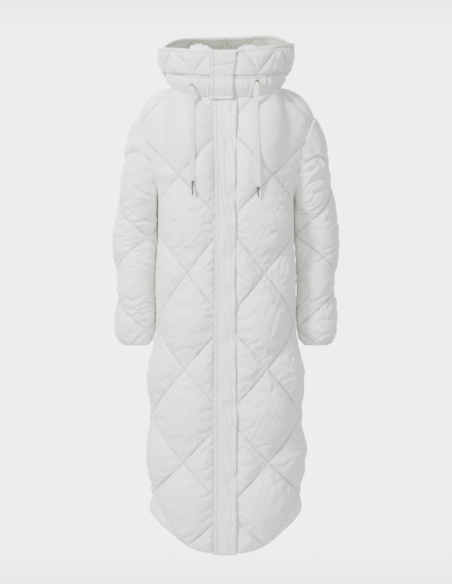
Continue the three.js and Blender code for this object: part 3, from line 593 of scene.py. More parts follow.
def hand_creases(panel):
    """How far the listed creases sink the cloth, on what faces the front."""
    sunk = np.zeros(panel.lift.shape)
    for x0, z0, x1, z1, depth, width in CREASES.get(panel.name, []):
        start, run = np.array([x0, z0]), np.array([x1 - x0, z1 - z0])
        offset = panel.grid[..., [0, 2]] - start
        t = clamp01(offset @ run / (run @ run))
        bow = 0.12 * np.linalg.norm(run) * np.sin(np.pi * t)
        away = np.linalg.norm(offset - t[..., None] * run + bow[..., None] * np.array([0.0, 1.0]), axis=-1)
        ends = np.sin(np.pi * np.clip(t, 0.12, 0.88)) * (1.3 - 0.5 * t)
        ridges = RIDGES["high"] * np.exp(-((away / (RIDGES["wide"] * width)) ** 2))
        deeper = CREASE_DEPTH.get(panel.name, CREASE_DEPTH["others"])
        sunk += deeper * depth * ends * (np.exp(-((away / width) ** 2)) - ridges)
    return sunk * smooth(-panel.normals()[..., 1], 0.1, 0.5)


# Panels: the surface at the stitches, the height over it, and the quilting's two counts at every point


class Panel:
    def __init__(
        self, name, grid, lift, p, q, closed=False, flip=False, spacing=BODY_SPACING, wrinkled=0, out=None
    ):
        self.name = name
        self.grid = grid
        self.lift = lift
        self.p = p
        self.q = q
        self.closed = closed
        self.flip = flip
        self.spacing = spacing
        self.wrinkled = wrinkled
        self.out = out
        self.shift = np.zeros(grid.shape)
        self.inside = np.zeros(grid.shape[:2])

    def normals(self):
        if self.out is None:
            out = grid_normals(self.grid, self.closed)
            self.out = -out if self.flip else out
        return self.out

    def surface(self):
        """The outside of the cloth."""
        lift = np.maximum(self.lift + self.wrinkled - hand_creases(self), -0.0015)
        return self.grid + self.normals() * lift[..., None] + self.shift


def mirror_panel(name, panel):
    made = Panel(
        name,
        mirrored(panel.grid),
        panel.lift,
        panel.p,
        panel.q,
        panel.closed,
        not panel.flip,
        panel.spacing,
        panel.wrinkled,
        mirrored(panel.normals()),
    )
    made.inside = panel.inside
    return made


def cells(count, detail):
    return np.arange(count * detail + 1) / detail


def body_share(face, i):
    share = i / COLS
    if face == "front":
        share[0] = (ZIP["half"] + SEAM_GAP) / FRONT_WIDTH
    return share


def body_counts(grid, i, j):
    """The quilting's counts, by the grid on the body, and by width and height on the yoke."""
    side = smooth(i, 8.5, 11.5) * (1 - smooth(j, 36, 40))
    share = smooth(j, 31, 38) * (1 - side)
    across = i + share * (np.abs(grid[..., 0]) / YOKE_CELL["wide"] - i)
    up = j + share * (ARMPIT_ROW + (grid[..., 2] - row_z(ARMPIT_ROW)) / YOKE_CELL["high"] - j)
    return (across + up - DIAMOND / 2) / DIAMOND, (across - up - DIAMOND / 2) / DIAMOND


def body_fade(name, i, j):
    face = name.split("_")[0]
    from_centre = i - PUFFS_START.get(name, -COLS)
    from_seams = (from_centre, COLS - i, j, (TOP_ROWS[face] - j) / 2)
    seams = np.minimum.reduce([towards_seam(away) for away in from_seams])
    beside_arm = PRESSED["by_arm"] * smooth(i, 7.5, 10) * smooth(j, 19, 24)
    in_armpit = PRESSED["in_armpit"] * smooth(i, 9, 11) * np.exp(-(((j - ARMPIT_ROW) / 5) ** 2))
    return seams * (1 - beside_arm - in_armpit)


def body_panel(name, detail):
    """The wearer's left half of the front or back, from the centre to the side seam."""
    face = name.split("_")[0]
    rows, columns = cells(TOP_ROWS[face], detail), cells(COLS, detail)
    share = body_share(face, columns.copy())
    grid = np.stack([body_row(face, share, float(j)) for j in rows])
    i, j = np.meshgrid(columns, rows)
    p, q = body_counts(grid, i, j)
    fade = body_fade(name, i, j)
    return grid, fade, p, q, i, j


def body_wrinkles(face, fade, p, q, i, j, seed):
    total = fade * quilt_wrinkles(p, q, BODY_SPACING, seed)
    slack = slack_cloth("body", i, j, i * CELL, j * CELL, seed)
    total += slack * np.sqrt(puff(p, q)) * fade * (1 - 0.6 * smooth(j, 35, 41))
    for away, along, line in (((COLS - i) * CELL, j * CELL, 77), (j * CELL, i * CELL, 78)):
        total += 0.8 * puckers(along, away, line, 0.06, seed + 60)
    if face == "front":
        beside = np.maximum(i * CELL - 0.034, 0)
        total += 2.0 * puckers(j * CELL + 0.3 * beside, beside, 79, 0.07, seed + 61)
        below = (TOP_ROWS[face] - j) * CELL
        at_neck = smooth(i, 1, 2) * (1 - smooth(i, 7, 9))
        total += 2.6 * puckers(i * CELL, below, 80, 0.028, seed + 62) * at_neck
    return total


def front_panel(name, detail, seed):
    grid, fade, p, q, i, j = body_panel(name, detail)
    lift = BODY_PUFF * puff(p, q) * fade
    panel = Panel(name, grid, lift, p, q)
    panel.wrinkled = body_wrinkles("front", fade, p, q, i, j, seed)
    if name == "front_right":
        panel = mirror_panel(name, panel)
    return panel


def back_panel(detail, seed):
    grid, fade, p, q, i, j = body_panel("back", detail)
    lift = BODY_PUFF * puff(p, q) * fade
    halves = []
    for side, offset in ((1, 0), (-1, 7)):
        part = grid if side > 0 else mirrored(grid)
        halves.append((part, lift, p, q, body_wrinkles("back", fade, p, q, i, j, seed + offset)))
    left, right = halves
    joined = [np.concatenate([a[:, ::-1], b[:, 1:]], axis=1) for a, b in zip(left, right)]
    wrinkled = joined[4]
    wrinkled[:, i.shape[1] - 1] = (wrinkled[:, i.shape[1] - 2] + wrinkled[:, i.shape[1]]) / 2
    return Panel("back", joined[0], joined[1], joined[2], joined[3], wrinkled=wrinkled)


def sleeve_panel(side, detail, seed):
    rising, falling = SLEEVE_STITCHES[side]
    rows = cells(SLEEVE_ROWS, detail)
    grid = np.stack([sleeve_row(detail, float(r)) for r in rows])
    k, r = np.meshgrid(np.arange(SLEEVE_COLS * detail) / detail, rows)
    p, q = (k + r + rising) / SLEEVE_DIAMOND, (k - r + falling) / SLEEVE_DIAMOND
    from_armpit = np.minimum(k, SLEEVE_COLS - k)
    seams = np.minimum(towards_seam(r / 3.4), towards_seam((SLEEVE_ROWS - r) / 2))
    fade = seams * (1 - PRESSED["sleeve_by_body"] * np.exp(-((from_armpit / 3.2) ** 2)))
    panel = Panel("sleeve_left", grid, SLEEVE_PUFF * puff(p, q) * fade, p, q, True, True, SLEEVE_SPACING)
    around, down = k * SLEEVE_CELL["wide"], r * SLEEVE_CELL["high"]
    slack = slack_cloth("sleeve", k, r, around, down, seed) * (0.4 + 0.6 * puff(p, q))
    panel.wrinkled = fade * (1.2 * quilt_wrinkles(p, q, SLEEVE_SPACING, seed) + slack)
    panel.wrinkled += 0.9 * puckers(around, down, 77, 0.07, seed + 60)
    panel.wrinkled += 1.4 * puckers(around, (SLEEVE_ROWS - r) * SLEEVE_CELL["high"], 78, 0.07, seed + 61)
    return panel if side == "left" else mirror_panel("sleeve_right", panel)


def rest_sleeve(sleeve, fronts_and_back):
    """Swells a sleeve's inner side until it lies against the body, which it hangs beside."""
    sign = 1 if sleeve.name == "sleeve_left" else -1
    heights = np.linspace(-0.72, -0.27, 100)
    reach = np.full(len(heights), 0.15)
    for panel in fronts_and_back:
        x, y, z = (panel.surface() * [sign, 1, 1]).reshape(-1, 3).T
        beside = (x > 0.15) & (y > -0.08) & (y < 0.10) & (z > heights[0]) & (z < -0.286)
        level = np.round(np.interp(z[beside], heights, np.arange(len(heights)))).astype(int)
        np.maximum.at(reach, level, x[beside])
    reach = np.maximum.reduce([reach, np.roll(reach, 1), np.roll(reach, -1)])
    surface = sleeve.surface()
    columns = surface.shape[1]
    k = np.arange(columns) * SLEEVE_COLS / columns
    from_armpit = np.minimum(k, SLEEVE_COLS - k)
    inner = np.where(from_armpit < 2.6, surface[..., 0] * sign, 1.0).min(axis=1)
    height = surface[:, 0, 2]
    gap = inner - np.interp(height, heights, reach) - SLEEVE_CLEARANCE
    gap *= smooth(height, -0.688, -0.660) * (1 - smooth(height, -0.297, -0.287))
    sleeve.shift[..., 0] -= sign * gap[:, None] * np.exp(-((from_armpit / 3.6) ** 4))


@lru_cache(maxsize=None)
def hood_rings(detail):
    """Half of the hood and its band from the neck seam to the rim, with the outward directions."""
    columns = cells(HOOD_COLS, detail)
    grid = np.stack([hood_row(columns, float(row)) for row in cells(HOOD_ROWS, detail)])
    out = grid_normals(grid)
    out[:, -1, 0] = 0
    return grid, unit(out)


def beside_seam(rows):
    """How full the cloth is beside the seam between the hood and its band."""
    return 0.4 + 0.6 * np.minimum(rows / 0.35, 1)


def tilted(grid, first_row):
    """The hood's upper rows, a little higher on the wearer's left."""
    rows = first_row + np.linspace(0, HOOD_ROWS - first_row, len(grid))
    grid = grid.copy()
    grid[..., 2] += RIM_TILT * grid[..., 0] * smooth(rows, 6, HOOD_ROWS)[:, None]
    return grid


def hood_panel(name, detail, seed):
    grid, out = (half[BAND_ROWS * detail :] for half in hood_rings(detail))
    rows, columns = BAND_ROWS + cells(HOOD_ROWS - BAND_ROWS, detail), cells(HOOD_COLS, detail)
    around = np.concatenate([[0], np.cumsum(np.linalg.norm(np.diff(grid[-1], axis=0), axis=1))])
    steps = np.linalg.norm(np.diff(grid, axis=0), axis=2)
    down = np.concatenate([np.cumsum(steps[::-1], axis=0)[::-1], np.zeros((1, len(columns)))])
    across, up = (around - HOOD_DIAMOND["first"]) / HOOD_DIAMOND["across"], down / HOOD_DIAMOND["up"]
    p, q = across + up, across - up
    c, r = np.meshgrid(columns, rows - BAND_ROWS)
    below_rim = np.maximum(down - HOOD_EDGE["rim"], 0) / 0.012
    seams = [towards_seam(d) for d in (c / 2 - 1.1, HOOD_COLS - c, below_rim)]
    fade = np.minimum.reduce(seams)
    quilt = puff(p, q) * fade
    from_band = np.exp(-r / 1.1)
    lift = HOOD_PUFF * quilt * (1 - 0.6 * from_band)
    lift = lift + HOOD_EDGE["lift"] * from_band * beside_seam(r)
    panel = Panel("hood_left", grid, lift, p, q, spacing=HOOD_SPACING, out=out)
    around = np.broadcast_to(around, down.shape)
    slack = slack_cloth("hood", around, down, around, down, seed)
    stitched = HOOD_EDGE["groove"] * np.exp(-(((down - HOOD_EDGE["rim"]) / 0.0022) ** 2))
    panel.wrinkled = fade * (1.1 * quilt_wrinkles(p, q, HOOD_SPACING, seed) + slack) - stitched
    panel.inside = 0.006 * quilt
    if name == "hood_right":
        panel = mirror_panel(name, panel)
    panel.grid = tilted(panel.grid, BAND_ROWS)
    return panel


def band_panel(detail, seed):
    """The hood's band: the drawstring's channel, gathered along its lower edge at the neck seam."""
    half, out = (grid[: BAND_ROWS * detail + 1] for grid in hood_rings(detail))
    c, r = np.meshgrid(cells(HOOD_COLS, detail), cells(BAND_ROWS, detail))
    to_hood = BAND_ROWS - r
    edges = np.minimum(towards_seam(r / 0.5), towards_seam(c / 2 - 0.9))
    lift = BAND_PUFF * edges * (1 - 0.45 * np.exp(-to_hood / 0.8)) * beside_seam(to_hood)
    free = smooth(c, 2.4, 4)
    sides = []
    for offset in (0, 9):
        around = c * BAND_CELL["wide"]
        lean = around + 0.006 * noise(around / 0.03, r / 3, seed + offset)
        gathers = noise(lean / 0.012, r / 9, seed + 1 + offset)
        folds = noise(lean / 0.030, r / 7, seed + 2 + offset)
        here = 0.5 + 0.8 * smooth(noise(around / 0.06, 0.5, seed + 3 + offset), -0.4, 0.5)
        low = np.exp(-r / 1.6)
        crease = -0.0034 * np.exp(-((gathers / 0.3) ** 2)) * (0.35 + low) * here
        crease = crease - 0.0028 * np.exp(-((folds / 0.25) ** 2))
        channel = -0.0012 * np.exp(-(((r - 3.2) / 0.16) ** 2))
        sides.append(free * np.minimum(r / 0.3, 1) * np.minimum(to_hood / 0.4, 1) * crease + channel)
    whole = [
        np.concatenate([a, b[:, ::-1][:, 1:]], axis=1)
        for a, b in ((half, mirrored(half)), (lift, lift), (sides[0], sides[1]), (out, mirrored(out)))
    ]
    whole[2][:, c.shape[1] - 1] = (whole[2][:, c.shape[1] - 2] + whole[2][:, c.shape[1]]) / 2
    rows = np.broadcast_to(cells(BAND_ROWS, detail)[:, None], whole[1].shape)
    around = np.broadcast_to(np.arange(whole[1].shape[1]) * BAND_CELL["wide"] / detail, whole[1].shape)
    up = rows * BAND_CELL["high"]
    panel = Panel("hood_band", whole[0], whole[1], up, around, wrinkled=whole[2], out=whole[3])
    ragged = 1 + 0.5 * noise(around / 0.009, 0.5, seed + 20) + 0.4 * noise(around / 0.03, 0.5, seed + 21)
    panel.shift[..., 2] -= BAND_OVERHANG * ragged * np.exp(-((rows / 0.9) ** 2)) * np.minimum(rows / 0.2, 1)
    return panel


# Cloth simulation: the padded panels swell between their stitches and buckle a little

SETTLE = {"frames": 14, "slack": -0.035, "pressure": 3.5, "stiffness": 12}
SETTLE_CAP = {BODY_SPACING: 0.0019, SLEEVE_SPACING: 0.0026, HOOD_SPACING: 0.0013}


def settle(panel, pinned):
    """Where each point of a coarse panel moves to when its filling presses on the cloth."""
    start = panel.grid + panel.normals() * (0.9 * panel.lift + panel.wrinkled)[..., None]
    rows, columns = start.shape[:2]
    mesh = bpy.data.meshes.new("settling")
    faces = quads(rows, columns, panel.closed, panel.flip)
    mesh.from_pydata(start.reshape(-1, 3).tolist(), [], faces.tolist())
    obj = bpy.data.objects.new("settling", mesh)
    bpy.context.scene.collection.objects.link(obj)
    obj.vertex_groups.new(name="stitched").add(np.flatnonzero(pinned.ravel()).tolist(), 1.0, "REPLACE")
    cloth = obj.modifiers.new("Cloth", "CLOTH")
    settings = cloth.settings
    settings.quality = 4
    settings.mass = 0.15
    settings.tension_stiffness = SETTLE["stiffness"]
    settings.compression_stiffness = SETTLE["stiffness"]
    settings.shear_stiffness = 5
    settings.bending_stiffness = 0.08
    settings.air_damping = 4
    settings.vertex_group_mass = "stitched"
    settings.shrink_min = SETTLE["slack"]
    settings.use_pressure = True
    settings.uniform_pressure_force = SETTLE["pressure"]
    settings.effector_weights.gravity = 0
    cloth.collision_settings.use_collision = False
    cloth.collision_settings.use_self_collision = False
    cloth.point_cache.frame_start = 1
    cloth.point_cache.frame_end = SETTLE["frames"]
    for step in range(1, SETTLE["frames"] + 1):
        bpy.context.scene.frame_set(step)
    settled = obj.evaluated_get(bpy.context.evaluated_depsgraph_get())
    found = np.empty(rows * columns * 3, np.float32)
    settled.data.vertices.foreach_get("co", found)
    bpy.data.objects.remove(obj)
    bpy.data.meshes.remove(mesh)
    bpy.context.scene.frame_set(1)
    shift = found.reshape(start.shape).astype(float)
    shift = shift - (panel.grid + panel.normals() * panel.lift[..., None])
    shift -= panel.normals() * panel.wrinkled[..., None]
    shift[pinned] = 0
    size = np.linalg.norm(shift, axis=-1, keepdims=True)
    return shift * np.minimum(1, SETTLE_CAP[panel.spacing] / np.maximum(size, 1e-9))


def finer(values, times, axis, closed=False):
    """Values between those of a grid along one axis, on smooth curves through them."""
    values = np.moveaxis(values, axis, 0)
    count = len(values)
    at = np.arange(count * times if closed else (count - 1) * times + 1) / times
    low = np.floor(at).astype(int)
    t = (at - low).reshape(-1, *[1] * (values.ndim - 1))

    def pick(offset):
        index = low + offset
        return values[index % count if closed else np.clip(index, 0, count - 1)]

    before, here, after, last = pick(-1), pick(0), pick(1), pick(2)
    curve = here + 0.5 * t * (after - before)
    curve += 0.5 * t * t * (2 * before - 5 * here + 4 * after - last)
    curve += 0.5 * t**3 * (3 * here - before - 3 * after + last)
    return np.moveaxis(curve, 0, axis)


def settled_shift(coarse, times):
    """The shift of a settled coarse panel, on the grid of its finer one."""
    line = np.minimum(np.abs(coarse.p - np.round(coarse.p)), np.abs(coarse.q - np.round(coarse.q)))
    pinned = (line < 0.03) | (coarse.lift < 0.12 * coarse.lift.max())
    shift = settle(coarse, pinned)
    return finer(finer(shift, times, 0), times, 1, coarse.closed)


# Meshes


def quads(rows, columns, closed=False, flip=False, first=0):
    """Four corners for each cell of a grid of points, as seen from its outside."""
    r, c = np.meshgrid(np.arange(rows - 1), np.arange(columns if closed else columns - 1), indexing="ij")
    after = (c + 1) % columns
    corners = [r * columns + c, r * columns + after, (r + 1) * columns + after, (r + 1) * columns + c]
    faces = np.stack([corner.ravel() for corner in corners], axis=1) + first
    return faces[:, ::-1] if flip else faces


def edge_loop(rows, columns, closed):
    """The indices round a grid's open edges, each edge as a run of points that has the grid on its left."""
    index = np.arange(rows * columns).reshape(rows, columns)
    low, high = index[0], index[-1][::-1]
    if closed:
        return [np.append(low, low[0]), np.concatenate([[high[-1]], high])]
    return [np.concatenate([low, index[1:, -1], high[1:], index[::-1][1:, 0]])]


def make_object(name, points, faces, uvs=None, materials=(), slots=None, smooth_faces=True):
    mesh = bpy.data.meshes.new(name)
    mesh.from_pydata(np.asarray(points).tolist(), [], faces if isinstance(faces, list) else faces.tolist())
    for material in materials:
        mesh.materials.append(material)
    if slots is not None:
        mesh.polygons.foreach_set("material_index", np.asarray(slots, np.int32))
    if uvs is not None:
        layer = mesh.uv_layers.new(name="counts")
        layer.data.foreach_set("uv", np.asarray(uvs, np.float32).ravel())
    mesh.polygons.foreach_set("use_smooth", np.full(len(mesh.polygons), smooth_faces))
    mesh.update()
    obj = bpy.data.objects.new(name, mesh)
    bpy.context.scene.collection.objects.link(obj)
    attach(obj, "root")
    return obj


def wall_object(
    name, outer, inner, p, q, closed=False, flip=False, materials=(), step=1, quilted_inside=False
):
    """A closed wall between two grids, of which the inner one keeps every step-th point.

    Its outside carries the counts that its stitches are drawn from.
    """
    rows, columns = outer.shape[:2]
    count = rows * columns
    inner = inner[::step, ::step]
    inner_rows, inner_columns = inner.shape[:2]
    outside = quads(rows, columns, closed, flip)
    within = quads(inner_rows, inner_columns, closed, not flip)
    rims = []
    loops = edge_loop(rows, columns, closed), edge_loop(inner_rows, inner_columns, closed)
    for out_loop, in_loop in zip(*loops):
        for n in range(len(in_loop) - 1):
            run = out_loop[n * step : (n + 1) * step + 1].tolist()
            rim = [run[0], in_loop[n] + count, in_loop[n + 1] + count, *run[:0:-1]]
            rims.append(rim[::-1] if flip else rim)
    counts = np.stack([p, q], axis=-1)
    wrap = (p[0, 1] - p[0, 0]) * columns if closed else 0

    def spread(faces, counts, columns):
        uvs = counts.reshape(-1, 2)[faces]
        if closed:
            wraps = np.abs(uvs[:, :, 0].max(axis=1) - uvs[:, :, 0].min(axis=1)) > 0.5
            uvs[(faces % columns == 0) & wraps[:, None]] += wrap
        return uvs.reshape(-1, 2)

    uvs = [spread(outside, counts, columns)]
    if quilted_inside:
        uvs.append(spread(within, counts[::step, ::step], inner_columns))
    plain = sum(len(rim) for rim in rims) + (0 if quilted_inside else within.size)
    uvs.append(np.full((plain, 2), 0.5))
    points = np.concatenate([outer.reshape(-1, 3), inner.reshape(-1, 3)])
    faces = [*outside.tolist(), *(within + count).tolist(), *rims]
    slots = np.concatenate([np.zeros(len(outside)), np.ones(len(within)), np.zeros(len(rims))])
    return make_object(name, points, faces, np.concatenate(uvs), materials, slots)


def drawn_in(grid, closed):
    """The grid with its open edges drawn in by half the gap between sewn pieces."""
    grid = grid.copy()
    inset = SEWN_GAP / 2
    for edge, beside in ((0, 1), (-1, -2)):
        grid[edge] += unit(grid[beside] - grid[edge]) * inset
        if not closed:
            grid[:, edge] += unit(grid[:, beside] - grid[:, edge]) * inset
    return grid


def build_panel(panel, materials, quilted_inside=False):
    """A panel as a padded wall, built in place of its CAD node, which it hides."""
    inner = panel.grid - panel.normals() * (WALL + panel.inside)[..., None]
    obj = wall_object(
        panel.name + "_cloth",
        drawn_in(panel.surface(), panel.closed),
        drawn_in(inner, panel.closed),
        panel.p,
        panel.q,
        panel.closed,
        panel.flip,
        materials,
        2,
        quilted_inside,
    )
    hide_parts(panel.name)
    return obj


# Strips, facing and trimmings


def strip_columns(right, left, count=26):
    """Shares across a strip, closer together at its edges, and its places along the front."""
    share = (1 - np.cos(np.linspace(0, math.pi, count))) / 2
    return share, right + (left - right) * share


def off_panel(along):
    return LAY_GAP + STRIP_SLOPE * np.maximum(0, np.abs(along) - STRIP_FLAT)


def rounded_edge(share, sharpness=10):
    return 0.25 + 0.75 * (1 - np.abs(2 * share - 1) ** sharpness)


def stitch_groove(along, rows, level):
    sunk = 0
    for n, row in enumerate(rows):
        away = np.abs(along - row)
        sunk = sunk + 0.0015 * np.exp(-((away / 0.0016) ** 2))
        sunk = sunk - 0.8 * puckers(np.full_like(along, level * CELL), away, 90 + n, 0.02, 300 + n)
    return sunk


def strip_object(name, levels, shape, materials):
    """A strip along the front. shape gives, for a level, the places across it and its sides' heights."""
    outer, inner, counts = [], [], []
    for level in levels:
        along, top, under = shape(level)
        outer.append(front_raised(along, level, top))
        inner.append(front_raised(along, level, under))
        counts.append(along)
    outer, inner, along = np.stack(outer), np.stack(inner), np.stack(counts)
    up = np.broadcast_to(np.asarray(levels)[:, None] * CELL, along.shape)
    return wall_object(name, outer, inner, along, up, materials=materials)


def placket_shape(level):
    left = PLACKET["left"] + 0.0016 * noise(level / 2.1, 0.5, 501) + 0.0008 * noise(level / 0.8, 0.5, 502)
    share, along = strip_columns(PLACKET["right"], float(left), 36)
    under = off_panel(along)
    snap = max(math.exp(-(((level - row) / 0.7) ** 2)) for row in SNAP_ROWS)
    ripple = noise(level / 1.7, share * 1.3, 503) * 0.0030
    ripple = ripple + noise(level / 0.75 + share, share * 2, 504) * 0.0017
    slack = smooth(share, 0.25, 0.8) * (0.0016 + ripple) * (1 - 0.7 * snap)
    pinched = snap * 0.0036 * smooth(share, 0.3, 0.75)
    lifted = 0.0022 * smooth(share, 0.72, 1.0) * (1 - snap)
    beside = np.maximum(along - PLACKET_STITCHES[1], 0)
    folds = noise(along / 0.017 + 0.22 * level, level / 4.5, 506)
    slack = slack - 0.0024 * smooth(share, 0.2, 0.4) * (np.exp(-((folds / 0.25) ** 2)) - 0.3)
    slack = slack + 1.7 * puckers(np.full_like(along, level * CELL) + 0.4 * beside, beside, 95, 0.045, 305)
    gathered = smooth(level, 45.8, 46.8) * 0.0034 * noise(along / 0.0085, level / 2.5, 505)
    swell = 0.0012 * np.sin(np.pi * clamp01((share - 0.17) / 0.83))
    top = under + PLACKET["thick"] * rounded_edge(share) + slack - pinched + swell + gathered + lifted
    top = top - stitch_groove(along, PLACKET_STITCHES, level)
    line = np.abs((along + 0.0183) / 0.0392 - (level - 45.6) / -2.1)
    top = top - 0.0014 * np.exp(-((line / 0.12) ** 2)) * (abs(level - 44.5) < 1.3)
    lowest = np.minimum(under + lifted, top - 0.0012)
    return along, np.maximum(top, under + THINNEST), lowest


def flap_shape(level):
    below, above = HOOD_FLAP["left_below"], HOOD_FLAP["left_above"]
    left = float(below + (above - below) * smooth(level, FRONT_ROWS, RIM))
    left = left + 0.0020 * float(noise(level / 2.3, 0.5, 511)) + 0.0012 * float(noise(level / 0.9, 0.5, 512))
    share, along = strip_columns(HOOD_FLAP["right"], left)
    over = HOOD_FLAP["over"] * (1 - smooth(level, FRONT_ROWS - 0.5, FRONT_ROWS + 3))
    under = off_panel(along) + over
    ripple = noise(level / 2.2, share * 1.6, 513) * 0.0024 + noise(level / 0.9, share * 2.4, 514) * 0.0012
    fold = 0.0024 * np.exp(-(((level - 55.5 - 2 * share) / 0.7) ** 2))
    fold = fold + 0.0022 * np.exp(-(((level - 50.6 - 1.2 * share) / 0.6) ** 2)) * share
    lifted = (0.0034 + 0.0014 * noise(level / 2.4, 0.5, 515)) * smooth(share, 0.72, 1.0)
    slack = smooth(share, 0.2, 0.7) * (0.0010 + ripple)
    top = under + HOOD_FLAP["thick"] * rounded_edge(share) + slack - fold + lifted
    top = top - stitch_groove(along, FLAP_STITCHES, level)
    return along, np.maximum(top, under + lifted + THINNEST), under + lifted


def zip_shape(_):
    along = strip_columns(-ZIP["half"], ZIP["half"], 9)[1]
    return along, np.full_like(along, -0.0018), np.full_like(along, -ZIP["sunk"] - ZIP["thick"])


TOOTH = {"pitch": 0.0026, "long": 0.0042, "wide": 0.0014}


def zip_teeth(material):
    """Moulded teeth, in turn from each tape, as small blocks down the middle of the zip."""
    points, faces = [], []
    levels = np.linspace(ZIP["stops_short"], RIM - ZIP["stops_short"], 1800)
    line = np.concatenate([front_point([0.0], level) for level in levels])
    reach = np.concatenate([[0], np.cumsum(np.linalg.norm(np.diff(line, axis=0), axis=1))])
    for n in range(int(reach[-1] / TOOTH["pitch"])):
        level = float(np.interp((n + 0.5) * TOOTH["pitch"], reach, levels))
        point, out, up = (vector[0] for vector in front_place([0.0], level))
        side = np.array([1.0, 0.0, 0.0])
        middle = point + side * (0.0007 if n % 2 else -0.0007) - out * 0.0012
        half = side * TOOTH["long"] / 2, up * TOOTH["wide"] / 2, out * 0.0009
        corners = [middle + a * half[0] + b * half[1] + c * half[2] for a, b, c in product((-1, 1), repeat=3)]
        first = len(points)
        points.extend(corners)
        for face in ((0, 1, 3, 2), (4, 6, 7, 5), (0, 4, 5, 1), (2, 3, 7, 6), (0, 2, 6, 4), (1, 5, 7, 3)):
            faces.append([first + corner for corner in face])
    return make_object("zip_teeth", points, faces, materials=[material], smooth_faces=False)


def facing_object(name, ends, materials):
    """A soft fold of facing behind the rim, highest in its middle."""
    columns, heights = np.linspace(0, 1, 37), np.linspace(0, 1, 21)
    seed = 600 + len(name)
    sides = []
    for back in (0, 1):
        rows = []
        for h in heights:
            row = []
            for c in columns:
                swell = math.sqrt(math.sin(math.pi * min(max(c, 0.04), 0.96)))
                round_top = math.sqrt(1 - 0.9 * h**4)
                fold = 0.0034 * float(noise(c * 5, h * 2.2, seed))
                fold = fold + 0.0018 * float(noise(c * 11, h * 4, seed + 1))
                depth = WALL + LAY_GAP + FACING_SIZE["tuck"] * h
                depth = depth + back * FACING_SIZE["thick"] * swell * round_top
                depth = max(depth + fold * h, WALL + THINNEST)
                rise = FACING_SIZE["low"] + (FACING_SIZE["high"] * swell - FACING_SIZE["low"]) * h
                rise += (0.0022 + 0.0026 * float(noise(c * 6, 0.3, seed + 2))) * h
                level = RIM + min(0, rise) / FACING_SIZE["row"]
                along = ends[0] + (ends[1] - ends[0]) * c
                row.append(front_raised([along], level, -depth, max(0, rise))[0])
            rows.append(row)
        sides.append(np.array(rows))
    across, up = np.meshgrid(columns, heights)
    obj = wall_object(name + "_cloth", sides[0], sides[1], across, up, materials=materials)
    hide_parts(name)
    return obj


def turned(name, profile, centre, axis, materials, segments=48):
    """A turned piece: (radius, height) pairs round an axis."""
    axis = unit(np.asarray(axis, float))
    side = unit(np.cross(axis, [1.0, 0.0, 0.0] if abs(axis[0]) < 0.9 else [0.0, 1.0, 0.0]))
    other = np.cross(axis, side)
    angle = np.arange(segments) * (2 * math.pi / segments)
    ring = np.cos(angle)[:, None] * side + np.sin(angle)[:, None] * other
    grid = np.stack([centre + ring * radius + axis * height for radius, height in profile])
    faces = quads(len(profile), segments, closed=True).tolist()
    return make_object(name, grid.reshape(-1, 3), faces, materials=materials)


def ring_profile(radius, tube, flange, depth, count=16):
    """A rolled metal ring with a short barrel behind it, closed on itself."""
    angle = np.linspace(-0.5 * math.pi, 1.1 * math.pi, count)
    rolled = [(radius + flange * math.cos(a), tube * math.sin(a)) for a in angle]
    barrel = [(radius - flange * share, low) for share, low in ((0.9, -depth), (0.6, -depth), (0.5, -tube))]
    return [*rolled, *barrel, rolled[0]]


def eyelet_object(side, materials):
    along, row = EYELET_PLACES[side]
    level = FRONT_ROWS + row
    out = front_place([along], level)[1]
    centre = front_raised([along], level, BAND_PUFF + EYELET["tube"] + EYELET["seat"])[0]
    profile = ring_profile(EYELET["radius"], EYELET["tube"] * 1.1, EYELET["tube"] * 1.3, 0.004)
    obj = turned(f"eyelet_{side}_metal", profile, centre, out[0], materials)
    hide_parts(f"eyelet_{side}")
    return obj


BRAID = {"pitch": 0.0034, "relief": 0.00028}


def cord_object(side, materials):
    """A flat braided cord along its route, whose width stays level."""
    path = finer(np.array(CORD_ROUTES[side]), 14, 0)
    tangent = unit(np.gradient(path, axis=0))
    across = unit(np.array([1.0, 0.0, 0.0]) - tangent * tangent[:, :1])
    out = np.cross(across, tangent)
    reach = np.concatenate([[0], np.cumsum(np.linalg.norm(np.diff(path, axis=0), axis=1))])
    angle = np.arange(32) * (2 * math.pi / 32)
    wide = np.sign(np.cos(angle)) * np.abs(np.cos(angle)) ** 0.75 * CORD_WIDTH / 2
    deep = np.sign(np.sin(angle)) * np.abs(np.sin(angle)) ** 0.7 * CORD_THICK / 2
    drawn = 0.66 + 0.34 * smooth(reach, 0.001, 0.014)  # narrower where it comes out of the eyelet
    u, v = reach[:, None] / BRAID["pitch"], wide[None] / BRAID["pitch"] / 1.15
    relief = BRAID["relief"] * (np.abs(np.sin(np.pi * (u + v))) + np.abs(np.sin(np.pi * (u - v))) - 1.3)
    curl = 0.0006 * noise(reach[:, None] / 0.06, wide[None] / 0.02, 700 + len(side))
    shape = deep[None] * (1 + relief / (CORD_THICK / 2)) + curl
    width = (drawn[:, None] * wide[None])[..., None]
    grid = path[:, None] + across[:, None] * width + out[:, None] * shape[..., None]
    rows, columns = grid.shape[:2]
    points = np.concatenate([grid.reshape(-1, 3), path[:1], path[-1:]])
    faces = quads(rows, columns, closed=True).tolist()
    last = (rows - 1) * columns
    for n in range(columns):
        faces.append([rows * columns, (n + 1) % columns, n])
        faces.append([rows * columns + 1, last + n, last + (n + 1) % columns])
    obj = make_object(f"drawcord_{side}", points, faces, materials=materials)
    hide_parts(f"cord_{side}")
    return obj, path, reach[-1], tangent[-1]


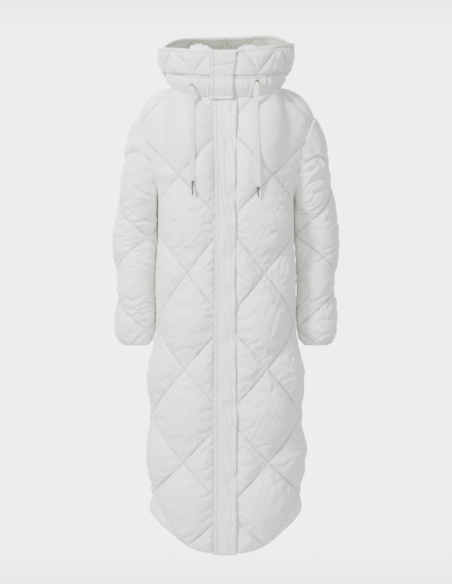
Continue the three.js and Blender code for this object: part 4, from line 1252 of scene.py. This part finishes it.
def tip_object(side, end, down, materials):
    """A crimped metal tip, which narrows towards a rounded end."""
    length, top, low = TIP[side], TIP["top"], TIP["end"]
    profile = [(0.0002, 0.0), (top * 0.85, 0.0), (top, 0.0006), (top, 0.0022), (top * 0.9, 0.0028)]
    profile += [(top * 0.9, 0.0036), (top * 0.97, 0.0042), (top * 0.96, 0.006)]
    profile += [(top + (low - top) * t, length * t) for t in (0.3, 0.5, 0.7, 0.85)]
    profile += [(low * 1.02, length - 0.0030), (low * 1.08, length - 0.0022), (low * 1.0, length - 0.0010)]
    profile += [(low * 0.8, length - 0.0003), (low * 0.4, length), (0.0002, length)]
    obj = turned(f"tip_{side}", profile[::-1], end + down * SEAM_GAP, down, materials)
    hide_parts(f"cord_tip_{side}")
    return obj


# Materials


def node(tree, kind, inputs=None, **settings):
    made = tree.nodes.new("ShaderNode" + kind)
    for name, value in settings.items():
        setattr(made, name, value)
    for name, value in (inputs or {}).items():
        if isinstance(value, bpy.types.NodeSocket):
            tree.links.new(value, made.inputs[name])
        else:
            made.inputs[name].default_value = value
    return made


def calc(tree, operation, a, b=0.0):
    return node(tree, "Math", {0: a, 1: b}, operation=operation).outputs[0]


def ramp(tree, value, low, high, to_low=0.0, to_high=1.0, kind="SMOOTHSTEP"):
    ends = {"Value": value, "From Min": low, "From Max": high, "To Min": to_low, "To Max": to_high}
    return node(tree, "MapRange", ends, interpolation_type=kind).outputs["Result"]


def finish_shader(tree, shader, colour=None, height=None, strength=0.0, distance=0.0):
    """Gives a shader its colour, and its bump where there is one."""
    if colour is not None:
        tree.links.new(colour, shader.inputs["Base Color"])
    if height is not None:
        bump = node(tree, "Bump", {"Height": height, "Strength": strength, "Distance": distance})
        tree.links.new(bump.outputs["Normal"], shader.inputs["Normal"])


def start_material(name, **constants):
    material = bpy.data.materials.new(name)
    material.use_nodes = True
    tree = material.node_tree
    shader = tree.nodes["Principled BSDF"]
    for key, value in constants.items():
        shader.inputs[key.replace("_", " ")].default_value = value
    return material, tree, shader


def blended(tree, share, first, second):
    return node(tree, "MixRGB", {"Fac": share, "Color1": first, "Color2": second}).outputs["Color"]


def mottled(tree, where, first, second, scale):
    spots = node(tree, "TexNoise", {"Vector": where, "Scale": scale, "Detail": 4.0}).outputs["Fac"]
    mix = node(tree, "ValToRGB", {"Fac": spots})
    for element, position, colour in zip(mix.color_ramp.elements, (0.35, 0.65), (first, second)):
        element.position = position
        element.color = (*colour, 1)
    return mix.outputs["Color"]


PAINTED_SHADE_LIGHTNESS = 0.44  # how light the painted shade on the cloth in the valley beside a line of stitches is
# colour of the painted shade beside the rows of stitches on the strips
PAINTED_GROOVE_SHADE = (0.42, 0.43, 0.39, 1)
THREAD = (0.60, 0.60, 0.56, 1)
STITCH = {"pitch": 0.0035, "half": 0.0005}


def from_line(tree, across, spacing):
    return calc(tree, "MULTIPLY", calc(tree, "PINGPONG", across, 0.5), spacing)


def painted_valley_shade(tree, p, q, spacing):
    """How much painted shade darkens the cloth in the valley beside the nearest stitches, from 0 to 1."""
    away = calc(tree, "MINIMUM", from_line(tree, p, spacing), from_line(tree, q, spacing))
    return ramp(tree, away, 0.0042, 0.0003)


def thread_mask(tree, across, along, spacing):
    """Where a line of stitches shows, as short dashes."""
    near = calc(tree, "LESS_THAN", from_line(tree, across, spacing), STITCH["half"])
    dash = calc(tree, "FRACT", calc(tree, "MULTIPLY", along, spacing / STITCH["pitch"]))
    return calc(tree, "MULTIPLY", near, calc(tree, "LESS_THAN", dash, 0.72))


def nylon(name, first, second, spacing=None, rim=None):
    """Soft-sheen nylon with a fine weave and a slight crinkle, and threads and painted shade in the valleys
    where it is quilted.
    """
    material, tree, shader = start_material(
        name,
        Roughness=0.55,
        Sheen_Weight=0.25,
        Sheen_Roughness=0.45,
        Specular_IOR_Level=0.42,
    )
    places = node(tree, "TexCoord")
    where = places.outputs["Object"]
    colour = mottled(tree, where, first, second, 5.0)
    crinkle = node(tree, "TexNoise", {"Vector": where, "Scale": 120.0, "Detail": 5.0, "Roughness": 0.6})
    weave = [
        node(tree, "TexWave", {"Vector": where, "Scale": 260.0}, bands_direction=direction).outputs["Fac"]
        for direction in ("X", "Z")
    ]
    grain = calc(tree, "MULTIPLY", calc(tree, "ADD", weave[0], weave[1]), 0.06)
    height = calc(tree, "ADD", crinkle.outputs["Fac"], grain)
    if spacing:
        split = node(tree, "SeparateXYZ", {"Vector": places.outputs["UV"]})
        p, q = split.outputs["X"], split.outputs["Y"]
        threads = calc(tree, "MAXIMUM", thread_mask(tree, p, q, spacing), thread_mask(tree, q, p, spacing))
        if rim:
            down = calc(tree, "MULTIPLY", calc(tree, "SUBTRACT", p, q), HOOD_DIAMOND["up"] / 2)
            away = calc(tree, "ABSOLUTE", calc(tree, "SUBTRACT", down, rim))
            # a painted shade line along the topstitching below the rim
            painted_rim_shade = ramp(tree, away, 0.0024, 0.0004, 0.0, 0.75)
        uneven = node(tree, "TexNoise", {"Vector": where, "Scale": 55.0, "Detail": 2.0}).outputs["Fac"]
        uneven = ramp(tree, uneven, 0.36, 0.64, 0.2, 0.95, "LINEAR")
        # painted shade in the valleys along the stitch lines, made uneven by noise
        shade = calc(tree, "MULTIPLY", painted_valley_shade(tree, p, q, spacing), uneven)
        if rim:
            shade = calc(tree, "MAXIMUM", shade, painted_rim_shade)
        colour = blended(tree, shade, colour, (*(PAINTED_SHADE_LIGHTNESS * value for value in second), 1))
        colour = blended(tree, calc(tree, "MULTIPLY", threads, 0.5), colour, THREAD)
        height = calc(tree, "ADD", height, calc(tree, "MULTIPLY", threads, 0.5))
    finish_shader(tree, shader, colour, height, 0.35, 0.0009)
    return material


def strip_nylon(name, first, second, stitches):
    """The shell's nylon on a strip, with rows of stitches at these places across it and painted shade beside
    them.
    """
    material = nylon(name, first, second)
    tree = material.node_tree
    shader = tree.nodes["Principled BSDF"]
    split = node(tree, "SeparateXYZ", {"Vector": node(tree, "TexCoord").outputs["UV"]})
    across, up = split.outputs["X"], split.outputs["Y"]
    dash = calc(tree, "LESS_THAN", calc(tree, "FRACT", calc(tree, "MULTIPLY", up, 1 / STITCH["pitch"])), 0.7)
    rows, closest = 0.0, None
    for place in stitches:
        away = calc(tree, "ABSOLUTE", calc(tree, "SUBTRACT", across, place))
        rows = calc(tree, "MAXIMUM", rows, calc(tree, "LESS_THAN", away, STITCH["half"]))
        closest = away if closest is None else calc(tree, "MINIMUM", closest, away)
    # painted shade beside the rows of stitches, darkest at them
    near = ramp(tree, closest, 0.0026, 0.0004)
    colour = shader.inputs["Base Color"].links[0].from_socket
    colour = blended(tree, calc(tree, "MULTIPLY", near, 0.85), colour, PAINTED_GROOVE_SHADE)
    threads = calc(tree, "MULTIPLY", calc(tree, "MULTIPLY", rows, dash), 0.5)
    finish_shader(tree, shader, blended(tree, threads, colour, THREAD))
    return material


def metal(name, first, second, roughness):
    material, tree, shader = start_material(name, Metallic=1.0)
    where = node(tree, "TexCoord").outputs["Object"]
    wear = node(tree, "TexNoise", {"Vector": where, "Scale": 400.0, "Detail": 4.0}).outputs["Fac"]
    tree.links.new(calc(tree, "MULTIPLY_ADD", wear, 0.25), shader.inputs["Roughness"])
    shader.inputs["Roughness"].links[0].from_node.inputs[2].default_value = roughness
    finish_shader(tree, shader, mottled(tree, where, first, second, 180.0), wear, 0.15, 0.0002)
    return material


def textile(name, first, second, scale, roughness):
    """Woven tape or braid: matt, with a fine rib."""
    finish = {"Sheen_Weight": 0.2, "Specular_IOR_Level": 0.3}
    material, tree, shader = start_material(name, Roughness=roughness, **finish)
    where = node(tree, "TexCoord").outputs["Object"]
    wave = {"Vector": where, "Scale": scale, "Distortion": 0.6}
    rib = node(tree, "TexWave", wave, bands_direction="DIAGONAL")
    fuzz = node(tree, "TexNoise", {"Vector": where, "Scale": 900.0, "Detail": 3.0})
    height = calc(tree, "ADD", rib.outputs["Fac"], fuzz.outputs["Fac"])
    finish_shader(tree, shader, mottled(tree, where, first, second, 60.0), height, 0.4, 0.0004)
    return material


# Assembly


def make_panels(body, sleeve, hood):
    return [
        front_panel("front_left", body, 11),
        front_panel("front_right", body, 23),
        back_panel(body, 37),
        sleeve_panel("left", sleeve, 51),
        sleeve_panel("right", sleeve, 67),
        hood_panel("hood_left", hood, 83),
        hood_panel("hood_right", hood, 97),
    ]


def soften_near_cords(panel, shift):
    """Keeps the settled cloth from rising under the drawstrings, which lie on it."""
    for route in CORD_ROUTES.values():
        line = np.array(route)
        x, y, z = np.moveaxis(panel.grid, -1, 0)
        lowest = line[:, 2].min()
        under = smooth(z, lowest - 0.09, lowest - 0.02) * (y < -0.05)
        under = under * (1 - smooth(np.abs(x - line[:, 0].mean()), 0.012, 0.065))
        shift = shift * (1 - under)[..., None]
        panel.wrinkled = panel.wrinkled * (1 - 0.7 * under)
    return shift


OFF_WHITE = (0.780, 0.784, 0.756), (0.738, 0.740, 0.704)
HOOD_WHITE = (0.760, 0.765, 0.745), (0.715, 0.718, 0.692)
# the hood's lining, darker than the shell to paint the shade inside the hood
HOOD_INSIDE_SHADED = (0.545, 0.550, 0.485), (0.490, 0.495, 0.432)
BAND_WHITE = (0.755, 0.760, 0.740), (0.705, 0.708, 0.682)


def build_coat():
    rim = HOOD_EDGE["rim"]
    shell = {
        BODY_SPACING: nylon("shell_nylon", *OFF_WHITE, BODY_SPACING),
        SLEEVE_SPACING: nylon("sleeve_nylon", *OFF_WHITE, SLEEVE_SPACING),
        HOOD_SPACING: nylon("hood_nylon", *HOOD_WHITE, HOOD_SPACING, rim),
    }
    lining = nylon("lining_nylon", (0.60, 0.61, 0.585), (0.55, 0.56, 0.535))
    shaded_hood_lining = nylon("hood_lining_nylon", *HOOD_INSIDE_SHADED, HOOD_SPACING, rim)
    band_nylon = strip_nylon("band_nylon", *BAND_WHITE, BAND_STITCHES)
    placket_nylon = strip_nylon("placket_nylon", *OFF_WHITE, PLACKET_STITCHES)
    flap_nylon = strip_nylon("flap_nylon", OFF_WHITE[0], (0.725, 0.730, 0.712), FLAP_STITCHES)
    facing_nylon = nylon("facing_nylon", (0.78, 0.80, 0.81), (0.73, 0.75, 0.76))
    tape = textile("zip_tape", (0.56, 0.56, 0.53), (0.50, 0.50, 0.47), 500.0, 0.85)
    teeth = textile("zip_moulding", (0.62, 0.62, 0.60), (0.55, 0.55, 0.53), 200.0, 0.4)
    braid = textile("cord_braid", (0.74, 0.73, 0.68), (0.66, 0.65, 0.60), 320.0, 0.9)
    bronze = metal("eyelet_bronze", (0.16, 0.12, 0.085), (0.07, 0.058, 0.048), 0.25)
    steel = metal("tip_steel", (0.16, 0.15, 0.14), (0.08, 0.075, 0.07), 0.22)

    fine = make_panels(BODY_DETAIL, SLEEVE_DETAIL, HOOD_DETAIL)
    coarse = make_panels(BODY_DETAIL // 2, SLEEVE_DETAIL // 2, HOOD_DETAIL // 2)
    for panel, rough in zip(fine, coarse):
        panel.shift = soften_near_cords(panel, settled_shift(rough, 2))
    if not coarse:
        for panel in fine:
            soften_near_cords(panel, panel.shift)
    for panel in fine:
        if panel.closed:
            rest_sleeve(panel, fine[:3])
    for panel in fine:
        hood = panel.spacing == HOOD_SPACING
        obj = build_panel(panel, [shell[panel.spacing], shaded_hood_lining if hood else lining], hood)
    band = build_panel(band_panel(HOOD_DETAIL, 131), [band_nylon, lining])

    placket_levels = np.concatenate([np.arange(0, PLACKET["top"], 0.2), [PLACKET["top"]]])
    placket = strip_object("placket_cloth", placket_levels, placket_shape, [placket_nylon, lining])
    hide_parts("placket")
    flap_levels = np.arange(FRONT_ROWS - 0.5, RIM - 0.19, 0.15)
    flap = strip_object("hood_flap_cloth", flap_levels, flap_shape, [flap_nylon, lining])
    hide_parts("hood_flap")

    zip_levels = np.concatenate([[ZIP["stops_short"]], np.arange(1, RIM, 0.5), [RIM - ZIP["stops_short"]]])
    tapes = strip_object("zip_tape", zip_levels, zip_shape, [tape, tape])
    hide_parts("zip")
    zip_teeth(teeth)

    for name in ("right", "left"):
        facing = facing_object(f"hood_facing_{name}", FACING[name], [facing_nylon, facing_nylon])
        eyelet_object(name, [bronze])
        cord, path, length, down = cord_object(name, [braid])
        tip = tip_object(name, path[-1], down, [steel])


def build_stage():
    place = (0, 0, FLOOR_Z)
    bpy.ops.mesh.primitive_cylinder_add(vertices=96, radius=FLOOR_RADIUS, depth=0.02, location=place)
    floor = bpy.context.object
    floor.name = "floor"
    material, tree, shader = start_material("floor_matt", Roughness=0.9)
    where = node(tree, "TexCoord").outputs["Object"]
    finish_shader(tree, shader, mottled(tree, where, (0.80, 0.80, 0.80), (0.78, 0.78, 0.78), 3.0))
    floor.data.materials.append(material)

    world = bpy.data.worlds.new("studio")
    world.use_nodes = True
    tree = world.node_tree
    direction = node(tree, "SeparateXYZ", {"Vector": node(tree, "TexCoord").outputs["Generated"]})
    height = calc(tree, "ABSOLUTE", direction.outputs["Z"])
    above = ramp(tree, height, HORIZON["full"], HORIZON["gone"])
    side = calc(tree, "MULTIPLY", direction.outputs["X"], -ROOM["from_left"])
    room = calc(tree, "MULTIPLY", above, calc(tree, "ADD", side, ROOM["light"]))
    behind = ramp(tree, direction.outputs["Y"], WALL_LIGHT["from"], WALL_LIGHT["to"])
    pale = calc(tree, "ADD", calc(tree, "MULTIPLY", behind, WALL_LIGHT["behind"]), WALL_LIGHT["round"])
    wall = calc(tree, "MULTIPLY", calc(tree, "SUBTRACT", 1.0, above), pale)
    background = tree.nodes["Background"]
    tint = blended(tree, above, *ROOM_TINTS)
    tree.links.new(tint, background.inputs["Color"])
    tree.links.new(calc(tree, "ADD", room, wall), background.inputs["Strength"])
    bpy.context.scene.world = world
    for name, place, size, power in LIGHTS:
        data = bpy.data.lights.new(name, "AREA")
        data.shape = "DISK"
        data.size = size
        data.energy = power
        lamp = bpy.data.objects.new(name, data)
        lamp.location = place
        aim = Vector((0, 0, LIGHT_AIM)) - Vector(place)
        lamp.rotation_euler = aim.to_track_quat("-Z", "Y").to_euler()
        bpy.context.scene.collection.objects.link(lamp)


def build_camera():
    data = bpy.data.cameras.new("camera")
    data.sensor_fit = "HORIZONTAL"
    data.sensor_width = SENSOR_WIDTH
    data.lens_unit = "MILLIMETERS"
    data.lens = SENSOR_WIDTH * CAMERA_DISTANCE / (PHOTO_WIDTH * METRES_PER_PIXEL)
    data.clip_start = 0.1
    camera = bpy.data.objects.new("camera", data)
    height = (NECK_LINE - PHOTO_HEIGHT / 2) * METRES_PER_PIXEL
    camera.location = (0, -CAMERA_DISTANCE, height)
    camera.rotation_euler = (math.radians(90), 0, 0)
    bpy.context.scene.collection.objects.link(camera)
    bpy.context.scene.camera = camera


build_coat()
build_stage()
build_camera()
